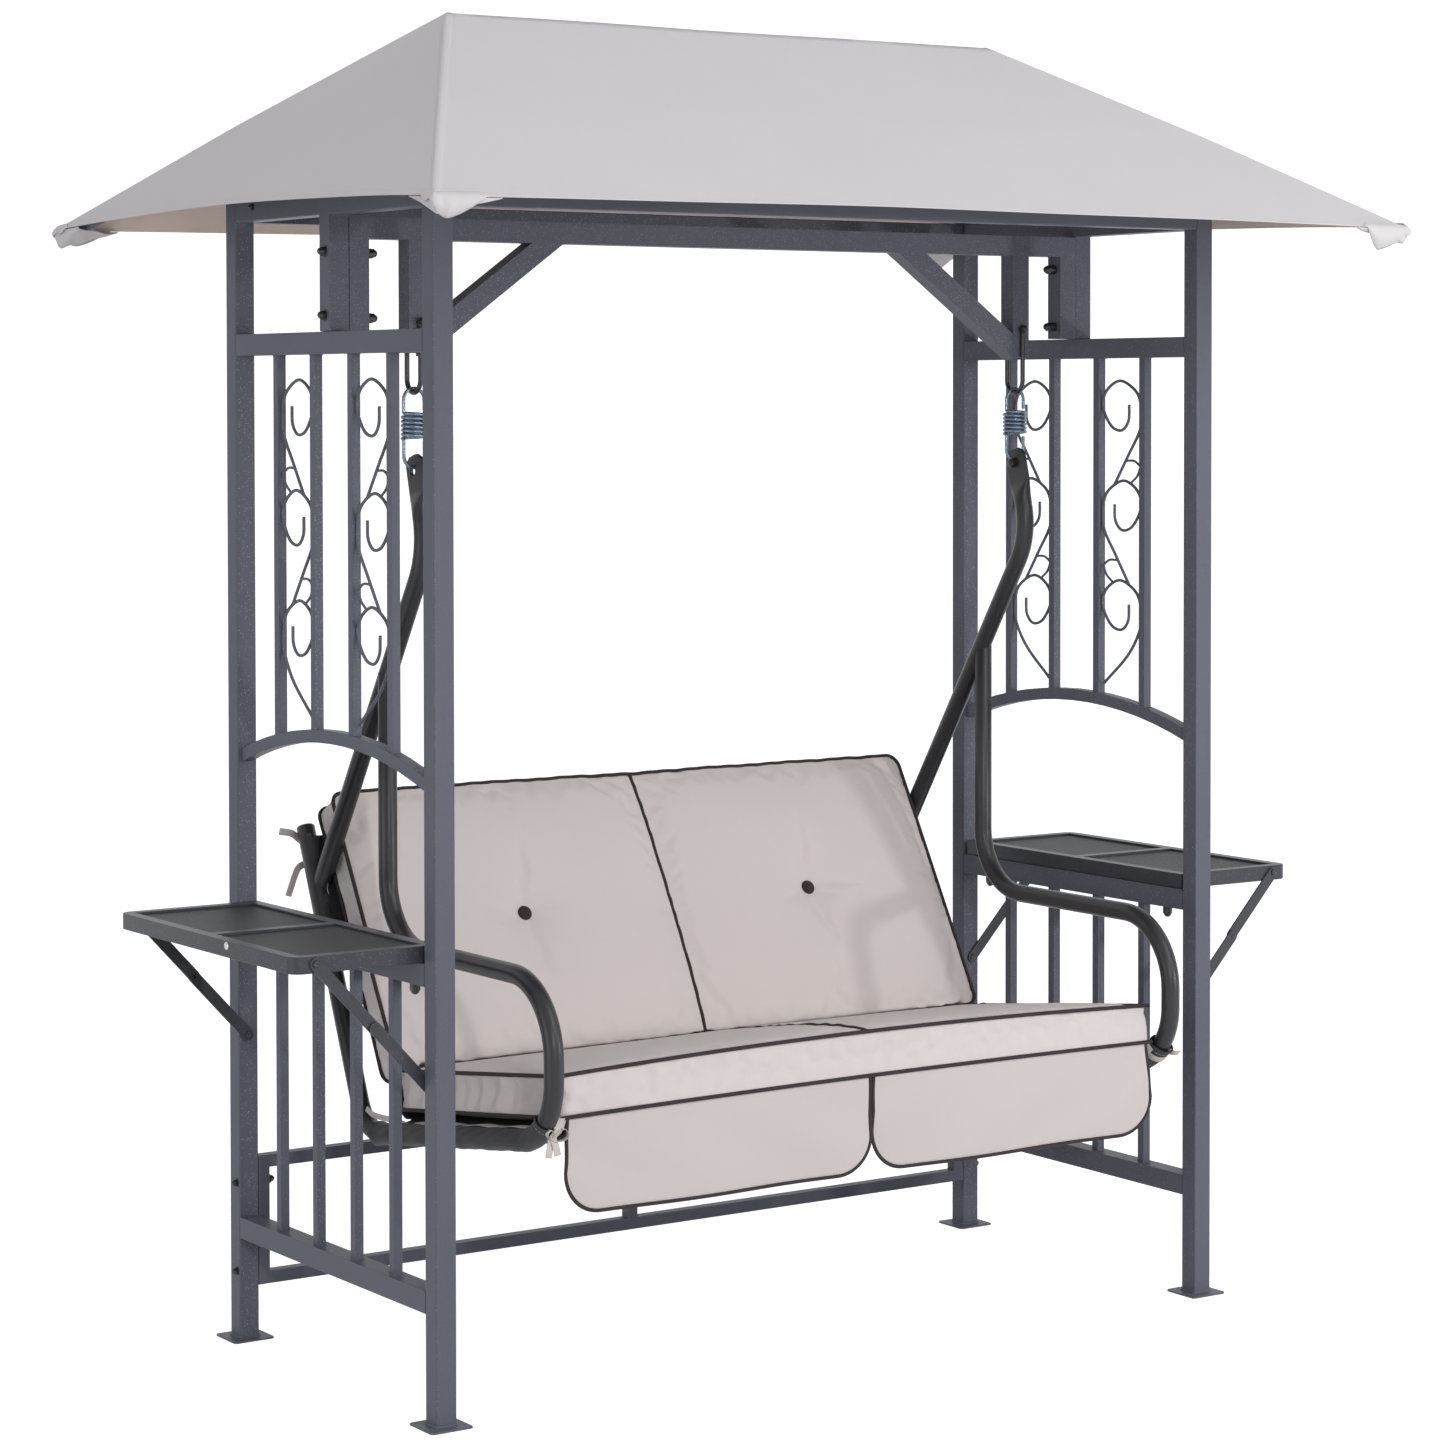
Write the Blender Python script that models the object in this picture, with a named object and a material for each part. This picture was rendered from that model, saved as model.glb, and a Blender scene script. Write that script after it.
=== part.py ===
"""Canopy swing seat: four square posts with a fabric hip canopy, two side panels with scrollwork,
two fold-down trays on knee stays, and a cushioned two-place seat that hangs on coil springs.

Metres, +Z up, +X to the seat's left-hand panel seen from behind, the seat faces -Y.
The origin lies on the ground, midway between the four posts.
"""
import bpy
import bmesh
import math
import numpy as np
from mathutils import Matrix, Vector

for item in list(bpy.data.objects):
    bpy.data.objects.remove(item, do_unlink=True)

# Clearances
fit_gap = 0.0003            # between pieces that touch
overrun = 0.004             # how far fused members and cutters reach past a face
weld_distance = 0.00002     # vertices closer than this are one vertex

# Posts
post_pitch_x = 1.460        # centre to centre, panel to panel
post_pitch_y = 0.634        # centre to centre, front to rear
post_side = 0.034           # square tube, also used for every rail and beam
post_top = 1.821
plate_side = 0.071
plate_thick = 0.003
plate_corner = 0.006

# Side panels
baluster_side = 0.015
baluster_pitch = 0.1215
baluster_count = 4
bottom_rail_top = 0.1987
mid_rail_top = 0.680
crossbar_top = 1.609
arch_side = 0.020
arch_peak = 0.989           # centre line of the arch at mid panel
arch_rise = 0.050           # peak above the arch's ends

# Scrollwork in the outer bays
wire_radius = 0.0025
leaf_wire_radius = 0.0020
scroll_head_gap = 0.039     # below the crossbar
scroll_foot_gap = 0.0173    # above the arch, at the last scroll's tail
scroll_count = 3
turned_wire_share = 0.95    # the turned scroll's wire against its neighbours'

# Overhead frame
top_rail_drop = 0.0003      # rails sit this far under the post tops
swing_beam_top = 1.785
hang_x = 0.592              # centre plane of each hanger, spring and side loop
inner_leg_bottom = 1.577
brace_reach = 0.204         # from the inner leg's centre along the beam
brace_drop = 0.134
bow_rod_radius = 0.004
bow_bolt_z = 1.625
bow_bottom_z = 1.516        # centre line of the hanger bow at its lowest point

# Canopy
canopy_half_x = 0.912
canopy_half_y = 0.626
eave_z = 1.781
ridge_z = 2.105
ridge_half = 0.532
cloth_thick = 0.002
hem_depth = 0.003
hem_tuck_share = 0.004      # the hem's lower edge draws in
pocket_depth = 0.026        # the pocket for the rafter's end, on the long eave
pocket_centre = 0.045       # from each corner along the eave
pocket_spread = 0.075
pocket_return = 0.010       # the pocket's shallow end, on the short eave
side_hollow = 0.028         # how far the short eaves draw up the slope at mid length
front_hollow = 0.015
hollow_power = 0.75         # the eave leaves its corners steeply
slope_sag = 0.009
kink_lift = 0.006
kink_share = 0.52
rafter_radius = 0.011
rafter_drop = 0.0192        # centre line under the cloth's hip
ridge_drop = 0.0156
rafter_end_share = 0.950
prop_side = 0.022

# Rear ladder frame
ladder_bar = 0.020
ladder_upper_z = 0.283
ladder_lower_z = 0.095
ladder_inset = 0.006        # forward of the rear posts' centres

# Trays
tray_reach = 0.242          # inner edge to outer edge
tray_rail_w = 0.020
tray_rail_h = 0.025
tray_corner = 0.020
tray_mesh_thick = 0.0012
tray_mesh_drop = 0.009
tray_setback = 0.003        # inner edge from the inner face of the mid rail
fold_axis_out = 0.001       # tray axis outside the mid rail's outer face
stay_thick = 0.003
stay_width = 0.019
stay_hole_radius = 0.003
stay_post_x = 0.732
stay_post_z = 0.491
stay_tray_x = 0.922
stay_tray_z = 0.694

# Springs
spring_wire_radius = 0.0025
spring_coil_radius = 0.01825
spring_turns = 6
spring_coil_height = 0.0397
upper_hook_height = 0.0385  # from the swing axis down to the first coil
lower_hook_height = 0.0446  # from the last coil down to the wire that carries the eye
hook_step = math.radians(36.0)
hook_bend = 0.0035          # the wire turns from leg to coil within this height

# Seat frame
seat_tube_radius = 0.015
eye_plate_thick = 0.006
eye_plate_width = 0.050
eye_plate_length = 0.052
eye_hole_radius = 0.008
eye_bar = 0.013             # metal above the eye
eye_plate_squareness = 0.15
eye_shoulder = 0.009        # chamfered top corners of the plate
eye_top_share = 0.62
flare_shares = (0.6, 1.0)   # how round the tube is at mid flare and at its end
flare_length = 0.045
hanger_knee_y = -0.038
hanger_knee_z = 1.271
hanger_knee_radius = 0.120
hanger_lean = math.radians(33.0)
hanger_inset = 0.005        # the hanger's lower end stands inward of its eye
arm_leg_y = 0.088
armrest_z = 0.652
arm_rear_radius = 0.105
loop_front_y = -0.410
arm_front_radius = 0.115
loop_low_front_z = 0.4195
loop_low_radius = 0.100
loop_rear_y = 0.163
loop_rear_z = 0.339
loop_rear_radius = 0.070
upright_top_y = 0.365
upright_top_z = 0.808
cross_tube_radius = 0.0125
cross_front_y = -0.290
cross_rear_y = 0.060
cross_top_share = 0.86      # along the upright

# Sling
sling_thick = 0.0015
sleeve_thick = 0.0012
sling_front_y = -0.335
sling_lap = 0.002           # the sheet's edge passes the middle of each side tube
sleeve_front_share = 0.55   # how far up the front bend the sleeve reaches
sleeve_joint_share = 1.6    # bare tube each side of the hanger's joint, in tube diameters
sleeve_shares = (0.24, 0.985)   # along the rear upright

# Cushions
cushion_half_x = 0.568
cushion_edge_inset = 0.004
seat_front_y = -0.3825
seat_front_z = 0.508
seat_slope = math.radians(7.4)
seat_rear_gap = 0.005       # before the sling's bend
seat_thick = 0.061
seat_crown = 0.016
seat_under_crown = 0.030
seat_press_length = 0.100   # the seat's crown dies out toward the back cushion
crown_powers = (2.6, 3.0)   # fullness across and along each stuffed half
back_front_y = 0.074
back_front_z = 0.4515
back_lean = math.radians(29.8)
back_height = 0.477
back_corner = 0.020
back_thick = 0.055
back_crown = 0.024
back_rear_crown = 0.040
back_toe_lift = 0.034
toe_share = 0.31            # lower part of the back cushion's rear that lifts
tuft_depth = 0.016
tuft_spread = 0.060
button_radius = 0.0115
button_height = 0.006
button_lift = 0.0030         # the button's base rides on the dimple's sloping sides

# Skirts
skirt_drop = 0.143
skirt_thick = 0.004
skirt_corner = 0.060
skirt_wave = 0.0035
skirt_split = 0.004
skirt_hang = 0.0018          # top edge below the cushion's lower front edge

post_x = post_pitch_x / 2
post_y = post_pitch_y / 2
rail_half = post_side / 2
bay_y = post_y - rail_half                       # inner face of each post along Y
sides = (("left", -1), ("right", 1))
ends = (("front", -1), ("rear", 1))


def material(name, colour, roughness, metallic=0.0):
    """One Principled surface."""
    made = bpy.data.materials.new(name)
    made.use_nodes = True
    shader = made.node_tree.nodes["Principled BSDF"]
    shader.inputs["Base Color"].default_value = (*colour, 1.0)
    shader.inputs["Roughness"].default_value = roughness
    shader.inputs["Metallic"].default_value = metallic
    return made


frame_paint = ((0.105, 0.112, 0.135), 0.55, 0.3)
seat_paint = ((0.040, 0.040, 0.044), 0.40, 0.3)
canopy_cloth = ((0.580, 0.555, 0.550), 0.90, 0.0)
cushion_cloth = ((0.600, 0.540, 0.520), 0.95, 0.0)
sling_cloth = ((0.012, 0.012, 0.014), 0.85, 0.0)
button_cloth = ((0.060, 0.035, 0.038), 0.70, 0.0)
zinc = ((0.620, 0.680, 0.720), 0.28, 1.0)
mesh_metal = ((0.060, 0.060, 0.068), 0.60, 0.3)


def finish(obj, paint, origin=(0.0, 0.0, 0.0), parent=None, smooth=True):
    """Material, smooth round faces, origin and parent of one finished sub-part."""
    obj.data.materials.clear()
    obj.data.materials.append(material(obj.name, *paint))
    if smooth:
        obj.data.shade_smooth()
        obj.data.set_sharp_from_angle(angle=math.radians(35.0))
    origin = Vector(origin)
    obj.data.transform(Matrix.Translation(-origin))
    obj.location = origin
    if parent is not None:
        obj.parent = parent
        obj.location = origin - parent.location
    return obj


def mesh_object(name, bm):
    """Object made from a finished bmesh."""
    bmesh.ops.recalc_face_normals(bm, faces=bm.faces)
    if bm.calc_volume(signed=True) < 0:
        bmesh.ops.reverse_faces(bm, faces=bm.faces)
    mesh = bpy.data.meshes.new(name)
    bm.to_mesh(mesh)
    bm.free()
    obj = bpy.data.objects.new(name, mesh)
    bpy.context.scene.collection.objects.link(obj)
    return obj


def baked(obj):
    """Evaluated mesh of an object with its modifiers or its curve bevel applied."""
    bpy.context.view_layer.update()
    seen = obj.evaluated_get(bpy.context.evaluated_depsgraph_get())
    mesh = bpy.data.meshes.new_from_object(seen)
    name = obj.name
    bpy.data.objects.remove(obj, do_unlink=True)
    made = bpy.data.objects.new(name, mesh)
    bpy.context.scene.collection.objects.link(made)
    return made


def combine(target, others, operation):
    """Union or difference of one object with several others, which are used up."""
    for other in others:
        cut = target.modifiers.new("join", "BOOLEAN")
        cut.operation = operation
        cut.solver = "EXACT"
        cut.object = other
    made = baked(target)
    for other in others:
        bpy.data.objects.remove(other, do_unlink=True)
    return made


def box(name, low, high):
    """Square-edged bar between two opposite corners."""
    low = Vector(low)
    high = Vector(high)
    bm = bmesh.new()
    bmesh.ops.create_cube(bm, size=1.0)
    spread = Matrix.Diagonal((*(high - low), 1.0))
    bm.transform(Matrix.Translation((low + high) / 2) @ spread)
    return mesh_object(name, bm)


def prism(name, outline, axis, start, depth):
    """Outline given as (first, second) pairs, pushed along axis x, y or z from start."""
    def spot(pair, along):
        first, second = pair
        return {"x": (along, first, second), "y": (first, along, second),
                "z": (first, second, along)}[axis]
    bm = bmesh.new()
    face = bm.faces.new([bm.verts.new(spot(pair, start)) for pair in outline])
    pushed = bmesh.ops.extrude_face_region(bm, geom=[face])
    shift = Vector(spot((0.0, 0.0), depth))
    moved = [part for part in pushed["geom"] if isinstance(part, bmesh.types.BMVert)]
    bmesh.ops.translate(bm, verts=moved, vec=shift)
    return mesh_object(name, bm)


def arc(centre, radius, first, last, steps):
    """Points of a circular arc in the plane, both ends included."""
    angles = np.linspace(first, last, steps + 1)
    return [(centre[0] + radius * math.cos(a), centre[1] + radius * math.sin(a)) for a in angles]


def rounded(points, radii, steps=6):
    """Polyline with each inner corner replaced by an arc of its own radius."""
    spots = [Vector(p) for p in points]
    path = [spots[0]]
    for before, corner, after, radius in zip(spots, spots[1:], spots[2:], radii):
        entry = (before - corner).normalized()
        leave = (after - corner).normalized()
        half = entry.angle(leave) / 2
        centre = corner + (entry + leave).normalized() * (radius / math.sin(half))
        first = corner + entry * (radius / math.tan(half)) - centre
        last = corner + leave * (radius / math.tan(half)) - centre
        turn = first.angle(last)
        for step in range(steps + 1):
            share = step / steps
            spot = (first * math.sin((1 - share) * turn) + last * math.sin(share * turn))
            path.append(centre + spot / math.sin(turn))
    path.append(spots[-1])
    return path


def tube(name, path, radius, resolution=4, closed=False):
    """Round rod or tube along a path of points."""
    curve = bpy.data.curves.new(name, "CURVE")
    curve.dimensions = "3D"
    curve.bevel_depth = radius
    curve.bevel_resolution = resolution
    curve.use_fill_caps = True
    spline = curve.splines.new("POLY")
    spline.points.add(len(path) - 1)
    for point, spot in zip(spline.points, path):
        point.co = (*spot, 1.0)
    spline.use_cyclic_u = closed
    obj = bpy.data.objects.new(name, curve)
    bpy.context.scene.collection.objects.link(obj)
    return baked(obj)


def sweep(name, path, radius, sides_count, across, closed=False):
    """Round rod along a path in the plane square to the given direction, mitred at each bend."""
    spots = [Vector(p) for p in path]
    across = Vector(across)
    count = len(spots)
    bm = bmesh.new()
    rings = []
    for i, spot in enumerate(spots):
        before = spots[i - 1] if closed or i else None
        after = spots[(i + 1) % count] if closed or i + 1 < count else None
        arrive = (spot - before).normalized() if before else (after - spot).normalized()
        leave = (after - spot).normalized() if after else arrive
        tangent = (arrive + leave).normalized()
        normal = tangent.cross(across)
        widen = radius / tangent.dot(leave)
        turns = [2 * math.pi * k / sides_count for k in range(sides_count)]
        rings.append([bm.verts.new(spot + normal * (widen * math.cos(a))
                                   + across * (radius * math.sin(a))) for a in turns])
    following = rings[1:] + rings[:1] if closed else rings[1:]
    for ring, other in zip(rings, following):
        for k in range(sides_count):
            m = (k + 1) % sides_count
            bm.faces.new((ring[k], ring[m], other[m], other[k]))
    if not closed:
        bm.faces.new(rings[0])
        bm.faces.new(rings[-1])
    return mesh_object(name, bm)


across_x = (1.0, 0.0, 0.0)
across_z = (0.0, 0.0, 1.0)


def smooth_path(points, steps):
    """Catmull-Rom curve through chosen points."""
    spots = [Vector(p) for p in points]
    padded = [2 * spots[0] - spots[1]] + spots + [2 * spots[-1] - spots[-2]]
    path = []
    for a, b, c, d in zip(padded, padded[1:], padded[2:], padded[3:]):
        for step in range(steps):
            t = step / steps
            path.append(0.5 * (2 * b + (c - a) * t + (2 * a - 5 * b + 4 * c - d) * t * t
                               + (3 * b - a - 3 * c + d) * t ** 3))
    path.append(spots[-1])
    return path


def cylinder(name, centre, radius, depth, axis, segments=16):
    """Round pin or cutter about axis x, y or z."""
    turn = {"x": Matrix.Rotation(math.pi / 2, 4, "Y"), "y": Matrix.Rotation(math.pi / 2, 4, "X"),
            "z": Matrix.Identity(4)}[axis]
    bm = bmesh.new()
    bmesh.ops.create_cone(bm, cap_ends=True, segments=segments, radius1=radius, radius2=radius,
                          depth=depth, matrix=Matrix.Translation(centre) @ turn)
    return mesh_object(name, bm)


def build_posts():
    """Square posts that stand on ground plates with rounded corners."""
    half = plate_side / 2
    r = plate_corner
    corners = ((half - r, half - r), (r - half, half - r), (r - half, r - half), (half - r, r - half))
    for end, fore in ends:
        for side, hand in sides:
            x, y = hand * post_x, fore * post_y
            outline = []
            for quarter, centre in enumerate(corners):
                start = quarter * math.pi / 2
                outline += arc((x + centre[0], y + centre[1]), r, start, start + math.pi / 2, 3)
            plate = prism(f"foot_plate_{end}_{side}", outline, "z", 0.0, plate_thick)
            finish(plate, frame_paint, (x, y, 0.0), smooth=False)
            post = box(f"post_{end}_{side}", (x - rail_half, y - rail_half, plate_thick + fit_gap),
                       (x + rail_half, y + rail_half, post_top))
            finish(post, frame_paint, (x, y, 0.0), smooth=False)


def baluster_places():
    """Y of each baluster, front to rear."""
    return [(i - (baluster_count - 1) / 2) * baluster_pitch for i in range(baluster_count)]


def arch_radius():
    return (bay_y ** 2 + arch_rise ** 2) / (2 * arch_rise)


def arch_height(y):
    """Centre line of the arch rail above the ground."""
    radius = arch_radius()
    return arch_peak - radius + math.sqrt(radius ** 2 - y ** 2)


def side_rail(name, x, top):
    """Square rail between the front and rear posts."""
    reach = bay_y - fit_gap
    return box(name, (x - rail_half, -reach, top - post_side), (x + rail_half, reach, top))


def baluster(x, y, low, high):
    half = baluster_side / 2
    return box("baluster", (x - half, y - half, low), (x + half, y + half, high))


def build_side_panels():
    """Upper grille: crossbar, balusters and arch. Lower grille: mid rail, balusters, bottom rail."""
    reach = bay_y - fit_gap
    radius = arch_radius()
    half_arch = arch_side / 2
    spread_outer = math.asin(reach / (radius + half_arch))
    spread_inner = math.asin(reach / (radius - half_arch))
    centre = (0.0, arch_peak - radius)
    up = math.pi / 2
    for side, hand in sides:
        x = hand * post_x
        outline = (arc(centre, radius + half_arch, up - spread_outer, up + spread_outer, 14)
                   + arc(centre, radius - half_arch, up + spread_inner, up - spread_inner, 14))
        parts = [prism("arch", outline, "x", x - half_arch, arch_side)]
        for y in baluster_places():
            parts.append(baluster(x, y, arch_height(y), crossbar_top - post_side + overrun))
        grille = side_rail(f"upper_grille_{side}", x, crossbar_top)
        finish(combine(grille, parts, "UNION"), frame_paint)
        parts = [side_rail("rail", x, bottom_rail_top)]
        for y in baluster_places():
            parts.append(baluster(x, y, bottom_rail_top - overrun,
                                  mid_rail_top - post_side + overrun))
        grille = side_rail(f"lower_grille_{side}", x, mid_rail_top)
        finish(combine(grille, parts, "UNION"), frame_paint, smooth=False)


# One scroll: shares across the bay, from the centre-side baluster, and shares of the scroll pitch
# downward from its top. The wire starts at the curl's inner tip and ends on the scroll below.
scroll_shares = ((0.68, 0.262), (0.65, 0.410), (0.48, 0.496), (0.24, 0.464), (0.05, 0.330),
                 (0.00, 0.200), (0.13, 0.078), (0.42, 0.000), (0.70, 0.044), (0.93, 0.150),
                 (1.00, 0.320), (0.96, 0.500), (0.66, 0.750), (0.30, 1.046))
leaf_upper_shares = ((0.60, 0.800), (0.82, 0.800), (0.985, 0.855))
leaf_lower_shares = ((0.74, 1.020), (0.90, 0.950), (0.985, 0.855))
last_scroll_tip_share = 0.04


def build_scrolls():
    """Bent-wire scrolls between the outer pairs of balusters, each bay one welded piece."""
    near = baluster_pitch / 2 + baluster_side / 2 + wire_radius + fit_gap
    far = 3 * baluster_pitch / 2 - baluster_side / 2 - wire_radius - fit_gap
    top = crossbar_top - post_side - scroll_head_gap
    foot = arch_height(near) + arch_side / 2 + scroll_foot_gap
    pitch = (top - foot) / (scroll_count - 1 + scroll_shares[-1][1])
    for side, hand in sides:
        for end, fore in ends:
            wires = []
            for number in range(scroll_count):
                turned = number % 2 == 1
                last = number == scroll_count - 1

                def place(across, down):
                    across = 1 - across if turned else across
                    y = fore * (near + across * (far - near))
                    return (hand * post_x, y, top - (number + down) * pitch)
                shares = list(scroll_shares)
                if last:
                    shares[-1] = (last_scroll_tip_share, scroll_shares[-1][1])
                radius = wire_radius * (turned_wire_share if turned else 1)
                wires.append(sweep("wire", smooth_path([place(*s) for s in shares], 2),
                                   radius, 6, across_x))
                if not last:
                    for leaf in (leaf_upper_shares, leaf_lower_shares):
                        wires.append(sweep("leaf", smooth_path([place(*s) for s in leaf], 2),
                                           leaf_wire_radius, 6, across_x))
            first = wires[0]
            first.name = f"scroll_{side}_{end}"
            finish(combine(first, wires[1:], "UNION"), frame_paint)


def build_top_frame():
    """Side rails with their centre posts, and the front and rear beams, between the post tops."""
    rail_top = post_top - top_rail_drop
    reach = bay_y - fit_gap
    low = rail_top - post_side
    for side, hand in sides:
        x = hand * post_x - rail_half
        foot = crossbar_top + fit_gap
        tee = [(-reach, low), (-rail_half, low), (-rail_half, foot), (rail_half, foot),
               (rail_half, low), (reach, low), (reach, rail_top), (-reach, rail_top)]
        finish(prism(f"top_rail_{side}", tee, "x", x, post_side), frame_paint, smooth=False)
    span = post_x - rail_half - fit_gap
    for end, fore in ends:
        y = fore * post_y
        beam = box(f"top_beam_{end}", (-span, y - rail_half, low), (span, y + rail_half, rail_top))
        finish(beam, frame_paint, smooth=False)


def build_swing_beam():
    """Overhead beam with outer legs against the centre posts, inner legs and diagonal braces."""
    low = swing_beam_top - post_side
    outer = post_x - rail_half - fit_gap
    beam = box("swing_beam", (-outer, -rail_half, low), (outer, rail_half, swing_beam_top))
    parts = []
    for side, hand in sides:
        leg_x = hand * (outer - rail_half)
        parts.append(box("outer_leg", (leg_x - rail_half, -rail_half, crossbar_top + fit_gap),
                         (leg_x + rail_half, rail_half, low + overrun)))
        leg_x = hand * hang_x
        parts.append(box("inner_leg", (leg_x - rail_half, -rail_half, inner_leg_bottom),
                         (leg_x + rail_half, rail_half, low + overrun)))
        steep = math.atan2(brace_drop, brace_reach - rail_half)
        rise = post_side / math.sin(steep)
        fall = post_side / math.cos(steep)
        face_x = hang_x - rail_half
        head_x = hang_x - brace_reach
        edge = overrun / math.tan(steep)
        brace = [(hand * (head_x + edge * -1), low + overrun),
                 (hand * (face_x + overrun), low - brace_drop - overrun * math.tan(steep)),
                 (hand * (face_x + overrun),
                  low - brace_drop - fall - overrun * math.tan(steep)),
                 (hand * (head_x - rise - edge), low + overrun)]
        parts.append(prism("brace", brace, "y", -rail_half + fit_gap, post_side - 2 * fit_gap))
    beam = combine(beam, parts, "UNION")
    holes = [cylinder("bolt_hole", (hand * hang_x, 0.0, bow_bolt_z), bow_rod_radius + fit_gap,
                      post_side + 2 * overrun, "y", 12) for side, hand in sides]
    finish(combine(beam, holes, "DIFFERENCE"), frame_paint)


def build_hanger_bows():
    """Rod bent into a closed bow: its bolt passes through the inner leg, its bottom is a half turn."""
    half = rail_half + bow_rod_radius + fit_gap
    corner = bow_rod_radius + fit_gap
    for side, hand in sides:
        x = hand * hang_x
        loop = arc((0.0, bow_bottom_z + half), half, math.pi, 2 * math.pi, 12)
        loop += arc((half - corner, bow_bolt_z - corner), corner, 0.0, math.pi / 2, 3)
        loop += arc((corner - half, bow_bolt_z - corner), corner, math.pi / 2, math.pi, 3)
        path = [(x, y, z) for y, z in loop]
        bow = sweep(f"hanger_bow_{side}", path, bow_rod_radius, 8, across_x, closed=True)
        finish(bow, frame_paint)


def hip_point(hand, fore, share):
    """Hip line of the canopy from a ridge end, share 0, to an eave corner, share 1."""
    lift = kink_lift * max(0.0, 1 - abs(share - kink_share) / kink_share)
    x = hand * (ridge_half + (canopy_half_x - ridge_half) * share)
    return Vector((x, fore * canopy_half_y * share, ridge_z + (eave_z - ridge_z) * share + lift))


def pocket_bump(reach, centre, spread):
    """1 at the pocket's centre and 0 past its spread, level at both."""
    return 0.5 + math.cos(math.pi * min(1.0, abs(reach - centre) / spread)) / 2


def build_canopy():
    """Hip roof of cloth over the rafters, with hollow eaves, a hem and drooping corner pockets."""
    drops = 7
    bm = bmesh.new()

    def slope(first, second, count, hollow):
        """One roof face between two hip lines, with closer columns near the corners."""
        fall = ((first(1.0) + second(1.0)) - (first(0.0) + second(0.0))).normalized()
        rows = []
        for j in range(drops + 1):
            t = j / drops
            row = []
            for i in range(count + 1):
                s = (1 - math.cos(math.pi * i / count)) / 2
                spot = first(t).lerp(second(t), s)
                bow = math.sin(math.pi * s)
                spot.z -= slope_sag * bow * math.sin(math.pi * t)
                spot -= fall * (hollow * abs(bow) ** hollow_power * t * t)
                row.append(bm.verts.new(spot))
            rows.append(row)
        for upper, lower in zip(rows, rows[1:]):
            for i in range(count):
                corners = (upper[i], upper[i + 1], lower[i + 1], lower[i])
                bm.faces.new(corners)

    for fore in (-1, 1):
        slope(lambda t: hip_point(-1, fore, t), lambda t: hip_point(1, fore, t), 20, front_hollow)
    for hand in (-1, 1):
        slope(lambda t: hip_point(hand, -1, t), lambda t: hip_point(hand, 1, t), 14, side_hollow)
    bmesh.ops.remove_doubles(bm, verts=bm.verts, dist=weld_distance)
    bmesh.ops.dissolve_degenerate(bm, edges=bm.edges, dist=weld_distance)
    rim = [edge for edge in bm.edges if edge.is_boundary]
    hem = bmesh.ops.extrude_edge_only(bm, edges=rim)
    for vert in [v for v in hem["geom"] if isinstance(v, bmesh.types.BMVert)]:
        x, y = canopy_half_x - abs(vert.co.x), canopy_half_y - abs(vert.co.y)
        if x >= y:
            depth = hem_depth + pocket_depth * pocket_bump(x, pocket_centre, pocket_spread)
        else:
            reach = pocket_centre + pocket_spread - y
            depth = hem_depth + pocket_return * min(1.0, max(0.0, reach / pocket_spread))
        vert.co += Vector((-vert.co.x * hem_tuck_share, -vert.co.y * hem_tuck_share, -depth))
    canopy = mesh_object("canopy", bm)
    skin = canopy.modifiers.new("cloth", "SOLIDIFY")
    skin.thickness = cloth_thick
    skin.offset = -1.0
    skin.use_even_offset = False
    finish(baked(canopy), canopy_cloth)


def build_canopy_frame():
    """Ridge bar and four hip rafters that butt on its sides, each propped on a post top."""
    drop = Vector((0.0, 0.0, -rafter_drop))
    z = ridge_z - ridge_drop
    bar = [(-ridge_half, 0.0, z), (ridge_half, 0.0, z)]
    finish(sweep("ridge_bar", bar, rafter_radius, 12, across_z), frame_paint)
    half = prop_side / 2
    clear = rafter_radius + fit_gap
    for end, fore in ends:
        for side, hand in sides:
            high = hip_point(hand, fore, 0.0) + drop
            low = hip_point(hand, fore, 1.0) + drop
            level = Vector((-(low - high).y, (low - high).x, 0.0)).normalized()
            run = [high, high.lerp(low, rafter_end_share)]
            rafter = sweep(f"rafter_{end}_{side}", run, rafter_radius, 12, level)
            seat = high.lerp(low, post_y / canopy_half_y)
            left, right = sorted((seat.x, hand * post_x))
            prop = box("prop", (left - half, seat.y - half, post_top + fit_gap),
                       (right + half, seat.y + half, seat.z))
            rafter = combine(rafter, [prop], "UNION")
            near = hand * (ridge_half - 2 * prop_side)
            far = hand * (ridge_half + 2 * prop_side)
            room = box("room", (min(near, far), -clear, z - 2 * prop_side),
                       (max(near, far), clear, z + 2 * prop_side))
            finish(combine(rafter, [room], "DIFFERENCE"), frame_paint)


def build_rear_ladder():
    """Two bars joined by a centre upright and end plates, between the rear posts."""
    half = ladder_bar / 2
    span = post_x - rail_half - fit_gap
    y = post_y - ladder_inset

    def piece(x_low, x_high, z_low, z_high):
        return box("bar", (x_low, y - half, z_low), (x_high, y + half, z_high))
    ladder = piece(-span, span, ladder_lower_z - half, ladder_lower_z + half)
    ladder.name = "rear_ladder"
    parts = [piece(-span, span, ladder_upper_z - half, ladder_upper_z + half)]
    for x in (-span + half, 0.0, span - half):
        inset = fit_gap * (1 if x else 2)
        parts.append(piece(x - half + inset, x + half - inset, ladder_lower_z, ladder_upper_z))
    finish(combine(ladder, parts, "UNION"), frame_paint, smooth=False)


def tray_half_length():
    """Half of a tray along Y: two stay links and their gaps fit between it and the post."""
    return bay_y - 2 * stay_thick - 3 * fit_gap


def fold_axis(hand):
    """A tray's folding axis: along Y at the upper outer edge of the mid rail."""
    return Vector((hand * (post_x + rail_half + fold_axis_out), 0.0, mid_rail_top + fit_gap / 2))


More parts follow.
